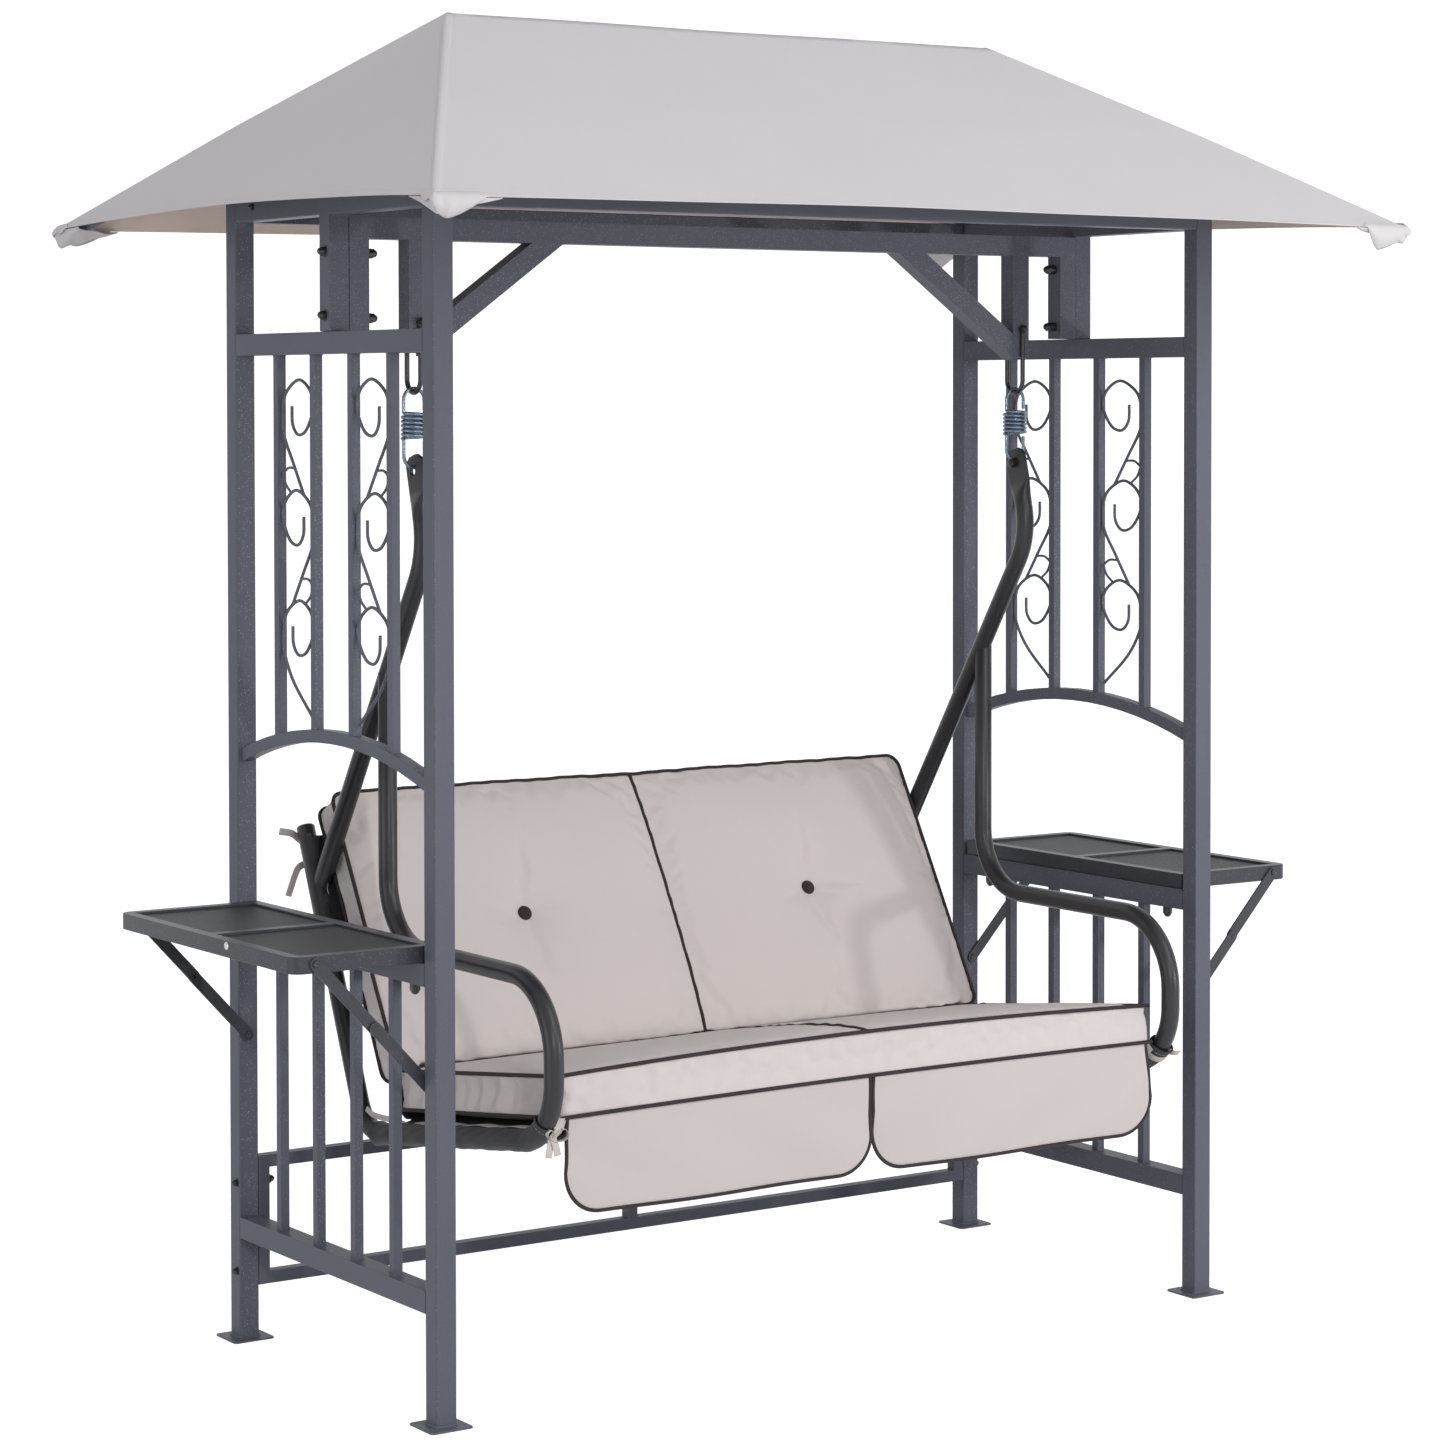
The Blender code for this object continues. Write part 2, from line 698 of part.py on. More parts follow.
def build_trays():
    """Tray frames of flat rail with rounded outer corners, two windows and two mesh panels each."""
    reach = tray_half_length()
    low = mid_rail_top + fit_gap
    for side, hand in sides:
        hinge = bpy.data.objects.new(f"tray_axis_{side}", None)
        bpy.context.scene.collection.objects.link(hinge)
        hinge.location = fold_axis(hand)
        inner = post_x - rail_half + tray_setback
        outer = inner + tray_reach
        r = tray_corner
        outline = [(inner, -reach)] + arc((outer - r, r - reach), r, -math.pi / 2, 0.0, 6)
        outline += arc((outer - r, reach - r), r, 0.0, math.pi / 2, 6) + [(inner, reach)]
        outline = [(hand * x, y) for x, y in outline]
        frame = prism(f"tray_frame_{side}", outline, "z", low, tray_rail_h)
        windows = []
        panels = []
        mesh_z = low + tray_rail_h - tray_mesh_drop
        for end, fore in ends:
            near = tray_rail_w / 2
            far = reach - tray_rail_w
            x_low = inner + tray_rail_w
            x_high = outer - tray_rail_w
            y_low, y_high = sorted((fore * near, fore * far))
            left, right = sorted((hand * x_low, hand * x_high))
            windows.append(box("window", (left, y_low, low - overrun),
                               (right, y_high, low + tray_rail_h + overrun)))
            panels.append(box(f"tray_mesh_{side}_{end}",
                              (left + fit_gap, y_low + fit_gap, mesh_z - tray_mesh_thick),
                              (right - fit_gap, y_high - fit_gap, mesh_z)))
        finish(combine(frame, windows, "DIFFERENCE"), frame_paint, fold_axis(hand), hinge)
        for panel in panels:
            finish(panel, mesh_metal, fold_axis(hand), hinge, smooth=False)
        build_stays(side, hand, hinge)


def link(name, first, second, y_low):
    """Flat link with round ends and a rivet hole at each end, between two (x, z) points."""
    a = Vector(first)
    b = Vector(second)
    along = math.atan2(b.y - a.y, b.x - a.x)
    half = stay_width / 2
    outline = arc(b, half, along - math.pi / 2, along + math.pi / 2, 8)
    outline += arc(a, half, along + math.pi / 2, along + 3 * math.pi / 2, 8)
    bar = prism(name, outline, "y", y_low, stay_thick)
    middle = y_low + stay_thick / 2
    depth = stay_thick + 2 * overrun
    holes = [cylinder("hole", (p.x, middle, p.y), stay_hole_radius, depth, "y", 12) for p in (a, b)]
    return combine(bar, holes, "DIFFERENCE")


def build_stays(side, hand, hinge):
    """Knee stays: the lower link turns on the post, the upper link on the tray's end."""
    post_pin = Vector((hand * stay_post_x, stay_post_z))
    tray_pin = Vector((hand * stay_tray_x, stay_tray_z))
    knee = (post_pin + tray_pin) / 2
    reach = tray_half_length()
    for end, fore in ends:
        inner = reach + fit_gap
        outer = inner + stay_thick + fit_gap
        upper_y = inner if fore > 0 else -inner - stay_thick
        lower_y = outer if fore > 0 else -outer - stay_thick
        upper = link(f"stay_upper_{side}_{end}", tray_pin, knee, upper_y)
        lower = link(f"stay_lower_{side}_{end}", post_pin, knee, lower_y)
        finish(upper, frame_paint, (tray_pin.x, upper_y, tray_pin.y), hinge)
        finish(lower, frame_paint, (post_pin.x, lower_y, post_pin.y))


def swing_axis_z():
    """The upper spring hook's wire rests on the bow's lowest point and turns there."""
    return bow_bottom_z + bow_rod_radius + fit_gap + spring_wire_radius


def coil_top():
    return swing_axis_z() - upper_hook_height


def lower_wire_z():
    """Centre of the lower hook's flat chord, which carries the hanger's eye."""
    return coil_top() - spring_coil_height - lower_hook_height


def spring_path(x):
    """Upper hook, coil and lower hook as one wire; both hooks are half turns with two legs."""
    r = spring_coil_radius
    top = coil_top()
    low = top - spring_coil_height
    rise = r * math.cos(hook_step / 2)
    path = [Vector((x + r, 0.0, top + hook_bend))]
    for step in range(6):
        a = hook_step * step
        z = swing_axis_z() - rise + r * math.sin(a)
        path.append(Vector((x + r * math.cos(a), 0.0, z)))
    path.append(Vector((x - r, 0.0, top + hook_bend)))
    count = spring_turns * 10
    for step in range(count + 1):
        share = step / count
        a = math.pi + 2 * math.pi * spring_turns * share
        lift = hook_bend / 3 * ((step == 0) - (step == count))
        path.append(Vector((x + r * math.cos(a), r * math.sin(a),
                            top - spring_coil_height * share + lift)))
    path.append(Vector((x - r, 0.0, low - hook_bend)))
    for step in range(6):
        a = math.pi + hook_step * step
        z = lower_wire_z() + rise + r * math.sin(a)
        path.append(Vector((x + r * math.cos(a), 0.0, z)))
    path.append(Vector((x + r, 0.0, low - hook_bend)))
    return path


def wire_self_gap(path, radius):
    """Least gap between parts of the wire that are not neighbours along it."""
    fine = []
    for a, b in zip(path, path[1:]):
        fine += [a.lerp(b, k / 6) for k in range(6)]
    spots = np.array(fine)
    steps = np.linalg.norm(np.diff(spots, axis=0), axis=1)
    along = np.concatenate(([0.0], np.cumsum(steps)))
    apart = np.linalg.norm(spots[:, None] - spots[None, :], axis=2)
    far = np.abs(along[:, None] - along[None, :]) > 6 * radius
    return float(apart[far].min() - 2 * radius)


def build_springs():
    for side, hand in sides:
        path = spring_path(hand * hang_x)
        print(f"spring_{side}: least gap to itself {wire_self_gap(path, spring_wire_radius):.5f} m")
        spring = tube(f"spring_{side}", path, spring_wire_radius, 1)
        finish(spring, zinc, (hand * hang_x, 0.0, swing_axis_z()), swing_empty)


def hanger_line():
    """Corner points of a hanger arm: eye, knee, and its end on the rear upright's centre line."""
    eye_top = lower_wire_z() + spring_wire_radius + fit_gap + eye_bar
    top = (0.0, eye_top)
    knee = (hanger_knee_y, hanger_knee_z)
    run = (math.sin(hanger_lean), -math.cos(hanger_lean))
    foot, head = upright_line()
    rise = ((head[0] - foot[0]), (head[1] - foot[1]))
    det = run[0] * -rise[1] + rise[0] * run[1]
    gap = (foot[0] - knee[0], foot[1] - knee[1])
    reach = (gap[0] * -rise[1] + rise[0] * gap[1]) / det
    return top, knee, (knee[0] + run[0] * reach, knee[1] + run[1] * reach)


def hanger_run(hand):
    """Knee and lower end of one hanger, which leans a little inward."""
    top, knee, end = hanger_line()
    return [(hand * hang_x, *knee), (hand * (hang_x - hanger_inset), *end)]


def upright_line():
    return (loop_rear_y, loop_rear_z), (upright_top_y, upright_top_z)


def build_hanger_arms():
    """Tube flattened into an eye plate at the top, bent at the knee, and coped at both joints."""
    top, knee, end = hanger_line()
    for side, hand in sides:
        x = hand * hang_x
        path = rounded([(0.0, *top), (0.0, *knee), (hanger_inset, *end)], [hanger_knee_radius], 8)
        down = (path[1] - path[0]).normalized()
        marks = [0.0, eye_shoulder, eye_plate_length, eye_plate_length + flare_length / 2,
                 eye_plate_length + flare_length]
        stations = [(path[0] + down * m, s) for m, s in zip(marks, (0.0, 0.0, 0.0, *flare_shares))]
        stations += [(spot, 1.0) for spot in path[1:]]
        sides_count = 12
        bm = bmesh.new()
        rings = []
        for i, (spot, share) in enumerate(stations):
            before = stations[max(i - 1, 0)][0]
            after = stations[min(i + 1, len(stations) - 1)][0]
            tangent = (after - before).normalized()
            across = Vector((1.0, 0.0, 0.0))
            normal = tangent.cross(across)
            half_wide = eye_plate_width / 2 * (1 - share) + seat_tube_radius * share
            half_wide *= 1 if i else eye_top_share
            half_thin = eye_plate_thick / 2 * (1 - share) + seat_tube_radius * share
            power = eye_plate_squareness * (1 - share) + share
            ring = []
            for k in range(sides_count):
                a = 2 * math.pi * k / sides_count
                c = math.cos(a) if k % 6 != 3 else 0.0
                s = math.sin(a) if k % 6 != 0 else 0.0
                wide = math.copysign(abs(c) ** power, c) * half_wide
                thin = math.copysign(abs(s) ** power, s) * half_thin
                ring.append(bm.verts.new(spot + normal * wide + across * thin))
            rings.append(ring)
        for ring, other in zip(rings, rings[1:]):
            for k in range(sides_count):
                m = (k + 1) % sides_count
                bm.faces.new((ring[k], ring[m], other[m], other[k]))
        bm.faces.new(rings[0])
        bm.faces.new(rings[-1])
        bmesh.ops.triangulate(bm, faces=bm.faces)
        arm = mesh_object(f"hanger_arm_{side}", bm)
        eye_z = lower_wire_z() + spring_wire_radius + fit_gap - eye_hole_radius
        foot, head = upright_line()
        eye_reach = eye_plate_thick + 2 * overrun
        eye = cylinder("eye", (0.0, 0.0, eye_z), eye_hole_radius, eye_reach, "x", 18)
        saddle = sweep("saddle", [(0.0, *foot), (0.0, *head)], seat_tube_radius + fit_gap, 12, across_x)
        arm = combine(arm, [eye, saddle], "DIFFERENCE")
        if side == "right":
            arm.data.transform(Matrix.Scale(-1, 4, across_x))
            arm.data.flip_normals()
        arm.data.transform(Matrix.Translation((x, 0.0, 0.0)))
        finish(arm, seat_paint, (x, 0.0, swing_axis_z()), seat_empty)


def loop_path(x, steps=6):
    """Armrest, front curve, seat side and rear upright of one bent tube."""
    top, knee, end = hanger_line()
    slope = (end[1] - knee[1]) / (end[0] - knee[0])
    leg_top = knee[1] + (arm_leg_y - knee[0]) * slope
    foot, head = upright_line()
    corners = [(x, arm_leg_y, leg_top), (x, arm_leg_y, armrest_z), (x, loop_front_y, armrest_z),
               (x, loop_front_y, loop_low_front_z), (x, *foot), (x, *head)]
    return rounded(corners, [arm_rear_radius, arm_front_radius, loop_low_radius, loop_rear_radius],
                   steps)


def build_side_loops():
    for side, hand in sides:
        x = hand * hang_x
        loop = sweep(f"side_loop_{side}", loop_path(x), seat_tube_radius, 12, across_x)
        saddle = sweep("saddle", hanger_run(hand), seat_tube_radius + fit_gap, 12, across_x)
        finish(combine(loop, [saddle], "DIFFERENCE"), seat_paint, (x, 0.0, swing_axis_z()), seat_empty)


def seat_line(y):
    """Height of the side loops' lower run."""
    foot = (loop_rear_y, loop_rear_z)
    front = (loop_front_y, loop_low_front_z)
    return foot[1] + (y - foot[0]) * (front[1] - foot[1]) / (front[0] - foot[0])


def cross_places():
    foot, head = upright_line()
    high = (foot[0] + (head[0] - foot[0]) * cross_top_share,
            foot[1] + (head[1] - foot[1]) * cross_top_share)
    return (("cross_tube_front", (cross_front_y, seat_line(cross_front_y))),
            ("cross_tube_rear", (cross_rear_y, seat_line(cross_rear_y))),
            ("cross_tube_top", high))


def build_cross_tubes():
    """Spreader tubes between the side loops, coped over them."""
    for name, (y, z) in cross_places():
        bar = sweep(name, [(-hang_x, y, z), (hang_x, y, z)], cross_tube_radius, 10, across_z)
        cutters = [sweep("saddle", loop_path(hand * hang_x), seat_tube_radius + fit_gap, 12, across_x)
                   for side, hand in sides]
        finish(combine(bar, cutters, "DIFFERENCE"), seat_paint, (0.0, 0.0, swing_axis_z()), seat_empty)


def sling_offset():
    return seat_tube_radius + fit_gap + sleeve_thick


def sling_line(extra):
    """Points (y, z) of the sling's centre line, offset from the side loops toward the sitter."""
    foot, head = Vector(upright_line()[0]), Vector(upright_line()[1])
    front = Vector((loop_front_y, loop_low_front_z))
    run = (foot - front).normalized()
    rise = (head - foot).normalized()
    up = Vector((-run.y, run.x))
    fore = Vector((-rise.y, rise.x))
    start = front + run * ((sling_front_y - loop_front_y) / run.x)
    stop = foot + rise * ((head - foot).length - 2 * overrun)
    bend = run.angle(rise) / 2
    corner = foot + (up + fore).normalized() * (extra / math.cos(bend))
    inner = loop_rear_radius - extra
    flat = [start + up * extra, corner, stop + fore * extra]
    path = rounded([(0.0, *p) for p in flat], [inner], 5)
    return [Vector((p.y, p.z)) for p in path]


def sleeve_runs():
    """Stretches of the side loops that the sling's sleeves cover, clear of every joint."""
    whole = loop_path(0.0)
    foot, head = Vector(upright_line()[0]), Vector(upright_line()[1])
    rise = head - foot
    step = seat_tube_radius * 2
    front = [p for p in whole if p.y < loop_front_y + loop_low_radius
             and p.z < loop_low_front_z + loop_low_radius * sleeve_front_share]
    lead = Vector((0.0, cross_front_y - step, seat_line(cross_front_y - step)))
    yield [*front, lead]
    yield [Vector((0.0, y, seat_line(y))) for y in (cross_front_y + step, cross_rear_y - step)]
    joint = Vector(hanger_line()[2])
    joint_share = (joint - foot).dot(rise) / rise.length_squared
    spread = sleeve_joint_share * step / rise.length
    for first, last in ((sleeve_shares[0], joint_share - spread),
                        (cross_top_share + spread / 2, sleeve_shares[1])):
        yield [Vector((0.0, *(foot + rise * share))) for share in (first, last)]


def build_sling():
    """Cloth seat and back in one length, its side hems sewn into sleeves over the side loops."""
    above = sling_line(sling_offset() - fit_gap)
    below = sling_line(sling_offset() - fit_gap - sling_thick)
    outline = [tuple(p) for p in above] + [tuple(p) for p in reversed(below)]
    half = hang_x + sling_lap
    sheet = prism("sling", outline, "x", -half, 2 * half)
    sleeves = []
    cutters = []
    bare = seat_tube_radius + fit_gap
    for side, hand in sides:
        x = hand * hang_x
        for run in sleeve_runs():
            spots = [p + Vector((x, 0.0, 0.0)) for p in run]
            sleeves.append(sweep("sleeve", spots, bare + sleeve_thick, 12, across_x))
        cutters.append(sweep("bore", loop_path(x), bare, 12, across_x))
        notch = bare + 2 * sleeve_thick
        cutters.append(sweep("notch", hanger_run(hand), notch, 12, across_x))
    sheet = combine(sheet, sleeves, "UNION")
    finish(combine(sheet, cutters, "DIFFERENCE"), sling_cloth, (0.0, 0.0, swing_axis_z()), seat_empty)


def crown_shape(s, t):
    """Rise of a cushion's face: two stuffed halves with a sewn channel between, 0 at every edge."""
    local = abs(2 * abs(s) - 1)
    return (1 - local ** crown_powers[0]) * (1 - abs(t) ** crown_powers[1])


def cushion(name, across, along, face, rear, side_drawn):
    """Boxed cushion on a grid: face(s, t) and rear(s, t) give its two sides, s and t in -1 to 1."""
    bm = bmesh.new()
    columns = np.linspace(-1, 1, across + 1)
    lines = np.linspace(-1, 1, along + 1)
    top = [[bm.verts.new(face(s, t)) for s in columns] for t in lines]
    low = [[bm.verts.new(rear(s, t)) for s in columns] for t in lines]
    for grid in (top, low):
        for j in range(along):
            for i in range(across):
                bm.faces.new((grid[j][i], grid[j][i + 1], grid[j + 1][i + 1], grid[j + 1][i]))

    def border(grid):
        return (grid[0][:-1] + [row[-1] for row in grid[:-1]] + grid[-1][:0:-1]
                + [row[0] for row in reversed(grid[1:])])
    upper = border(top)
    lower = border(low)
    middle = sum((v.co for v in upper + lower), Vector()) / (2 * len(upper))
    drawn = []
    for a, b in zip(upper, lower):
        centre = (a.co + b.co) / 2
        drawn.append(bm.verts.new(centre + side_drawn(centre - middle)))
    count = len(upper)
    for first, second in ((upper, drawn), (drawn, lower)):
        for i in range(count):
            m = (i + 1) % count
            bm.faces.new((first[i], first[m], second[m], second[i]))
    return mesh_object(name, bm)


def seat_axes():
    run = Vector((0.0, math.cos(seat_slope), -math.sin(seat_slope)))
    up = Vector((0.0, math.sin(seat_slope), math.cos(seat_slope)))
    return run, up


def seat_depth():
    """Length of the seat cushion along its slope, to the sling's rear bend."""
    return (loop_rear_y - seat_rear_gap - seat_front_y) / math.cos(seat_slope)


def seat_face(s, t):
    """Top of the seat cushion; t is -1 at the front."""
    run, up = seat_axes()
    base = Vector((s * cushion_half_x, seat_front_y, seat_front_z))
    spot = base + run * ((t + 1) / 2 * seat_depth())
    press = min(1.0, max(0.0, (back_front_y - spot.y) / seat_press_length))
    return spot + up * (seat_crown * crown_shape(s, t) * press * press * (3 - 2 * press))


def sling_face_z(y):
    """Height of the sling's upper face under the seat cushion."""
    run, up = seat_axes()
    tilt = math.atan2(loop_low_front_z - loop_rear_z, loop_rear_y - loop_front_y)
    return seat_line(y) + (sling_offset() + fit_gap) / math.cos(tilt)


def seat_rear(s, t):
    """Underside of the seat cushion, flattened where it lies on the sling."""
    run, up = seat_axes()
    base = Vector((s * cushion_half_x, seat_front_y, seat_front_z)) - up * seat_thick
    spot = base + run * ((t + 1) / 2 * seat_depth()) - up * (seat_under_crown * crown_shape(s, t))
    spot.z = max(spot.z, sling_face_z(spot.y))
    return spot


def back_axes():
    rise = Vector((0.0, math.sin(back_lean), math.cos(back_lean)))
    rear = Vector((0.0, math.cos(back_lean), -math.sin(back_lean)))
    return rise, rear


def ease_corner(s, t):
    """Moves grid points near a cushion's corner onto an arc; gives shares of width and height."""
    x, z = abs(s) * cushion_half_x, abs(t) * back_height / 2
    past_x = x - (cushion_half_x - back_corner)
    past_z = z - (back_height / 2 - back_corner)
    if past_x > 0 and past_z > 0:
        shrink = 1 - max(past_x, past_z) / math.hypot(past_x, past_z)
        x -= past_x * shrink
        z -= past_z * shrink
    return math.copysign(x / cushion_half_x, s), math.copysign(2 * z / back_height, t)


def tuft(s, t):
    """Depth of the button tufts, one at the middle of each half."""
    across = (abs(s) - 0.5) * cushion_half_x
    along = t * back_height / 2
    return tuft_depth * math.exp(-(across ** 2 + along ** 2) / tuft_spread ** 2)


def back_face(s, t):
    """Front of the back cushion; t is -1 at the bottom."""
    rise, rear = back_axes()
    s, t = ease_corner(s, t)
    base = Vector((s * cushion_half_x, back_front_y, back_front_z))
    spot = base + rise * ((t + 1) / 2 * back_height)
    return spot - rear * (back_crown * crown_shape(s, t) - tuft(s, t))


def sling_face_y(z):
    """Y of the sling's front face behind the back cushion."""
    foot, head = upright_line()
    lean = math.atan2(head[0] - foot[0], head[1] - foot[1])
    return foot[0] + (z - foot[1]) * math.tan(lean) - (sling_offset() + fit_gap) / math.cos(lean)


def back_rear(s, t):
    """Rear of the back cushion, flattened on the sling and lifted over the seat cushion."""
    rise, rear = back_axes()
    s, t = ease_corner(s, t)
    base = Vector((s * cushion_half_x, back_front_y, back_front_z)) + rear * back_thick
    spot = base + rise * ((t + 1) / 2 * back_height) + rear * (back_rear_crown * crown_shape(s, t))
    toe = max(0.0, 1 - (t + 1) / 2 / toe_share)
    spot.z += back_toe_lift * toe ** 2
    spot.y = min(spot.y, sling_face_y(spot.z))
    return spot


def build_cushions():
    """Seat and back cushions, two stuffed halves each, and the buttons that tuft the back."""
    def draw(offset):
        return -offset.normalized() * cushion_edge_inset
    place = (0.0, 0.0, swing_axis_z())
    seat = cushion("seat_cushion", 20, 12, seat_face, seat_rear, draw)
    finish(seat, cushion_cloth, place, seat_empty)
    back = cushion("back_cushion", 24, 10, back_face, back_rear, draw)
    rise, rear = back_axes()
    finish(back, cushion_cloth, place, seat_empty)
    for side, hand in sides:
        spot = back_face(hand * 0.5, 0.0)
        profile = [(0.0, 0.0), (button_radius, 0.0), (button_radius, button_height / 2),
                   (button_radius / 2, button_height), (0.0, button_height)]
        bm = bmesh.new()
        verts = [bm.verts.new((r, 0.0, h)) for r, h in profile]
        edges = [bm.edges.new(pair) for pair in zip(verts, verts[1:])]
        bmesh.ops.spin(bm, geom=verts + edges, cent=(0.0, 0.0, 0.0), axis=(0.0, 0.0, 1.0),
                       angle=2 * math.pi, steps=16, use_merge=True)
        bmesh.ops.remove_doubles(bm, verts=bm.verts, dist=weld_distance)
        turn = (-rear).to_track_quat("Z", "Y").to_matrix().to_4x4()
        bm.transform(Matrix.Translation(spot - rear * button_lift) @ turn)
        button = mesh_object(f"tuft_button_{side}", bm)
        finish(button, button_cloth, place, seat_empty)


def build_skirts():
    """Cloth flaps that hang from the front of the seat cushion, with rounded lower corners."""
    run, up = seat_axes()
    lip = Vector((0.0, seat_front_y, seat_front_z)) - up * seat_thick
    across = 14
    down = 5
    for side, hand in sides:
        near = skirt_split
        far = cushion_half_x - 3 * skirt_thick
        bm = bmesh.new()
        grids = []
        for layer in (0, 1):
            grid = []
            for j in range(down + 1):
                t = j / down
                row = []
                for i in range(across + 1):
                    s = (1 - math.cos(math.pi * i / across)) / 2
                    x = near + (far - near) * s
                    edge = min(s, 1 - s) * (far - near)
                    short = skirt_corner - math.sqrt(max(0.0, skirt_corner ** 2
                                                         - max(0.0, skirt_corner - edge) ** 2))
                    drop = (skirt_drop - short) * t
                    wave = skirt_wave * t * math.sin(3 * math.pi * s + hand)
                    y = lip.y + wave + skirt_thick * layer
                    row.append(bm.verts.new((hand * x, y, lip.z - skirt_hang - drop)))
                grid.append(row)
            grids.append(grid)
        front, rear = grids
        for grid in grids:
            for j in range(down):
                for i in range(across):
                    bm.faces.new((grid[j][i], grid[j][i + 1], grid[j + 1][i + 1], grid[j + 1][i]))

        def border(grid):
            return (grid[0][:-1] + [row[-1] for row in grid[:-1]] + grid[-1][:0:-1]
                    + [row[0] for row in reversed(grid[1:])])
        a = border(front)
        b = border(rear)
        for i in range(len(a)):
            m = (i + 1) % len(a)
            bm.faces.new((a[i], a[m], b[m], b[i]))
        skirt = mesh_object(f"skirt_{side}", bm)
        finish(skirt, cushion_cloth, (0.0, 0.0, swing_axis_z()), seat_empty)


swing_empty = bpy.data.objects.new("swing_axis", None)
bpy.context.scene.collection.objects.link(swing_empty)
swing_empty.location = (0.0, 0.0, swing_axis_z())
seat_empty = bpy.data.objects.new("bounce_carrier", None)
bpy.context.scene.collection.objects.link(seat_empty)
seat_empty.location = (0.0, 0.0, swing_axis_z())

build_posts()
build_side_panels()
build_scrolls()
build_top_frame()
build_swing_beam()
build_hanger_bows()
build_canopy()
build_canopy_frame()
build_rear_ladder()
build_trays()
build_springs()
build_hanger_arms()
build_side_loops()
build_cross_tubes()
build_sling()
build_cushions()
build_skirts()
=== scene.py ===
# %% [markdown]
# # A canopy swing seat, dressed on its CAD frame
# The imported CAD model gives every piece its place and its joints. This script keeps that frame and
# dresses it: cloth and cushions are made anew as worked-out surfaces, the steel gets rounded edges
# and powder coat, and the small hardware is added. All sizes are in metres.

# %% Load the frame
import math

import bmesh
import bpy
import numpy as np
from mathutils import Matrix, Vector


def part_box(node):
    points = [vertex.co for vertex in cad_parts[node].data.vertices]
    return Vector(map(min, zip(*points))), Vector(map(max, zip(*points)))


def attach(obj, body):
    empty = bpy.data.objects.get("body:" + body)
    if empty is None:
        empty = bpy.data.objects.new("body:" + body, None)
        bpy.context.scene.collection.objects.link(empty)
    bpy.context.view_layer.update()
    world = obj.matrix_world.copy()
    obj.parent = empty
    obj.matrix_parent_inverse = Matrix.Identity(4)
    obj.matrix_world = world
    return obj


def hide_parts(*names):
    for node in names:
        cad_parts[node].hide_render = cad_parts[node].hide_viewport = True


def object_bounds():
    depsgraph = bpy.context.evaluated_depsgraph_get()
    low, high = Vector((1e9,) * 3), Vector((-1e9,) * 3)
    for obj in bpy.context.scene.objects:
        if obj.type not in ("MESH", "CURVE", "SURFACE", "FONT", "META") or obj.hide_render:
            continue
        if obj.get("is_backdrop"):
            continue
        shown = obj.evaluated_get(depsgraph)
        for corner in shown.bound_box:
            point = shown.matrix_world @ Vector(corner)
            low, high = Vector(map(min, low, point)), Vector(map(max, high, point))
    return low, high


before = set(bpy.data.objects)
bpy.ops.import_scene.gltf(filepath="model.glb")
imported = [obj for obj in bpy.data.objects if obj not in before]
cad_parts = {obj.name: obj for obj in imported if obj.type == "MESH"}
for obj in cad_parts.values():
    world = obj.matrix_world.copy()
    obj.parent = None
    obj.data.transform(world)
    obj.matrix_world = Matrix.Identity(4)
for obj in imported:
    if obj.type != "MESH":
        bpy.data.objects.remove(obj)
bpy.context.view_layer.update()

# %% [markdown]
# ## Camera
# The photograph was taken from the front left, a little above the seat, with a long lens. The
# position was solved from the posts, which are plumb and square. The small upward shift keeps the
# posts parallel, as a view camera does.

# %% Camera
camera_data = bpy.data.cameras.new("camera")
camera = bpy.data.objects.new("camera", camera_data)
bpy.context.scene.collection.objects.link(camera)
camera.location = (-3.4242, -5.0460, 1.5043)
camera.rotation_euler = (math.radians(90 - 1.583), math.radians(0.07), math.radians(-34.035))
camera_data.lens = 92.88
camera_data.sensor_width = 36.0
camera_data.shift_y = -0.152
bpy.context.scene.camera = camera
bpy.context.scene.view_settings.view_transform = "Standard"
print("camera at", tuple(round(c, 3) for c in camera.location))

# %% [markdown]
# ## Meshes from arrays
# Every new piece is a grid of points that a formula gives in one go, so a shape is a function of
# two parameters. A grid becomes quads by plain index arithmetic, and several grids whose borders
# meet are welded into one closed skin. A rod is a ring of points carried along a path. Every
# finished piece rides on a CAD body, and most stand for a CAD node.

# %% Grids to meshes
def grid_quads(rows, columns, wrap_rows=False, wrap_columns=False, start=0):
    """Quads of a grid: each joins (r, c), (r, c+1), (r+1, c+1) and (r+1, c); wrapping closes it."""
    r = np.arange(rows if wrap_rows else rows - 1)
    c = np.arange(columns if wrap_columns else columns - 1)
    r, c = np.meshgrid(r, c, indexing="ij")
    r_next, c_next = (r + 1) % rows, (c + 1) % columns
    corners = (r * columns + c, r * columns + c_next, r_next * columns + c_next, r_next * columns + c)
    return np.stack(corners, axis=-1).reshape(-1, 4) + start


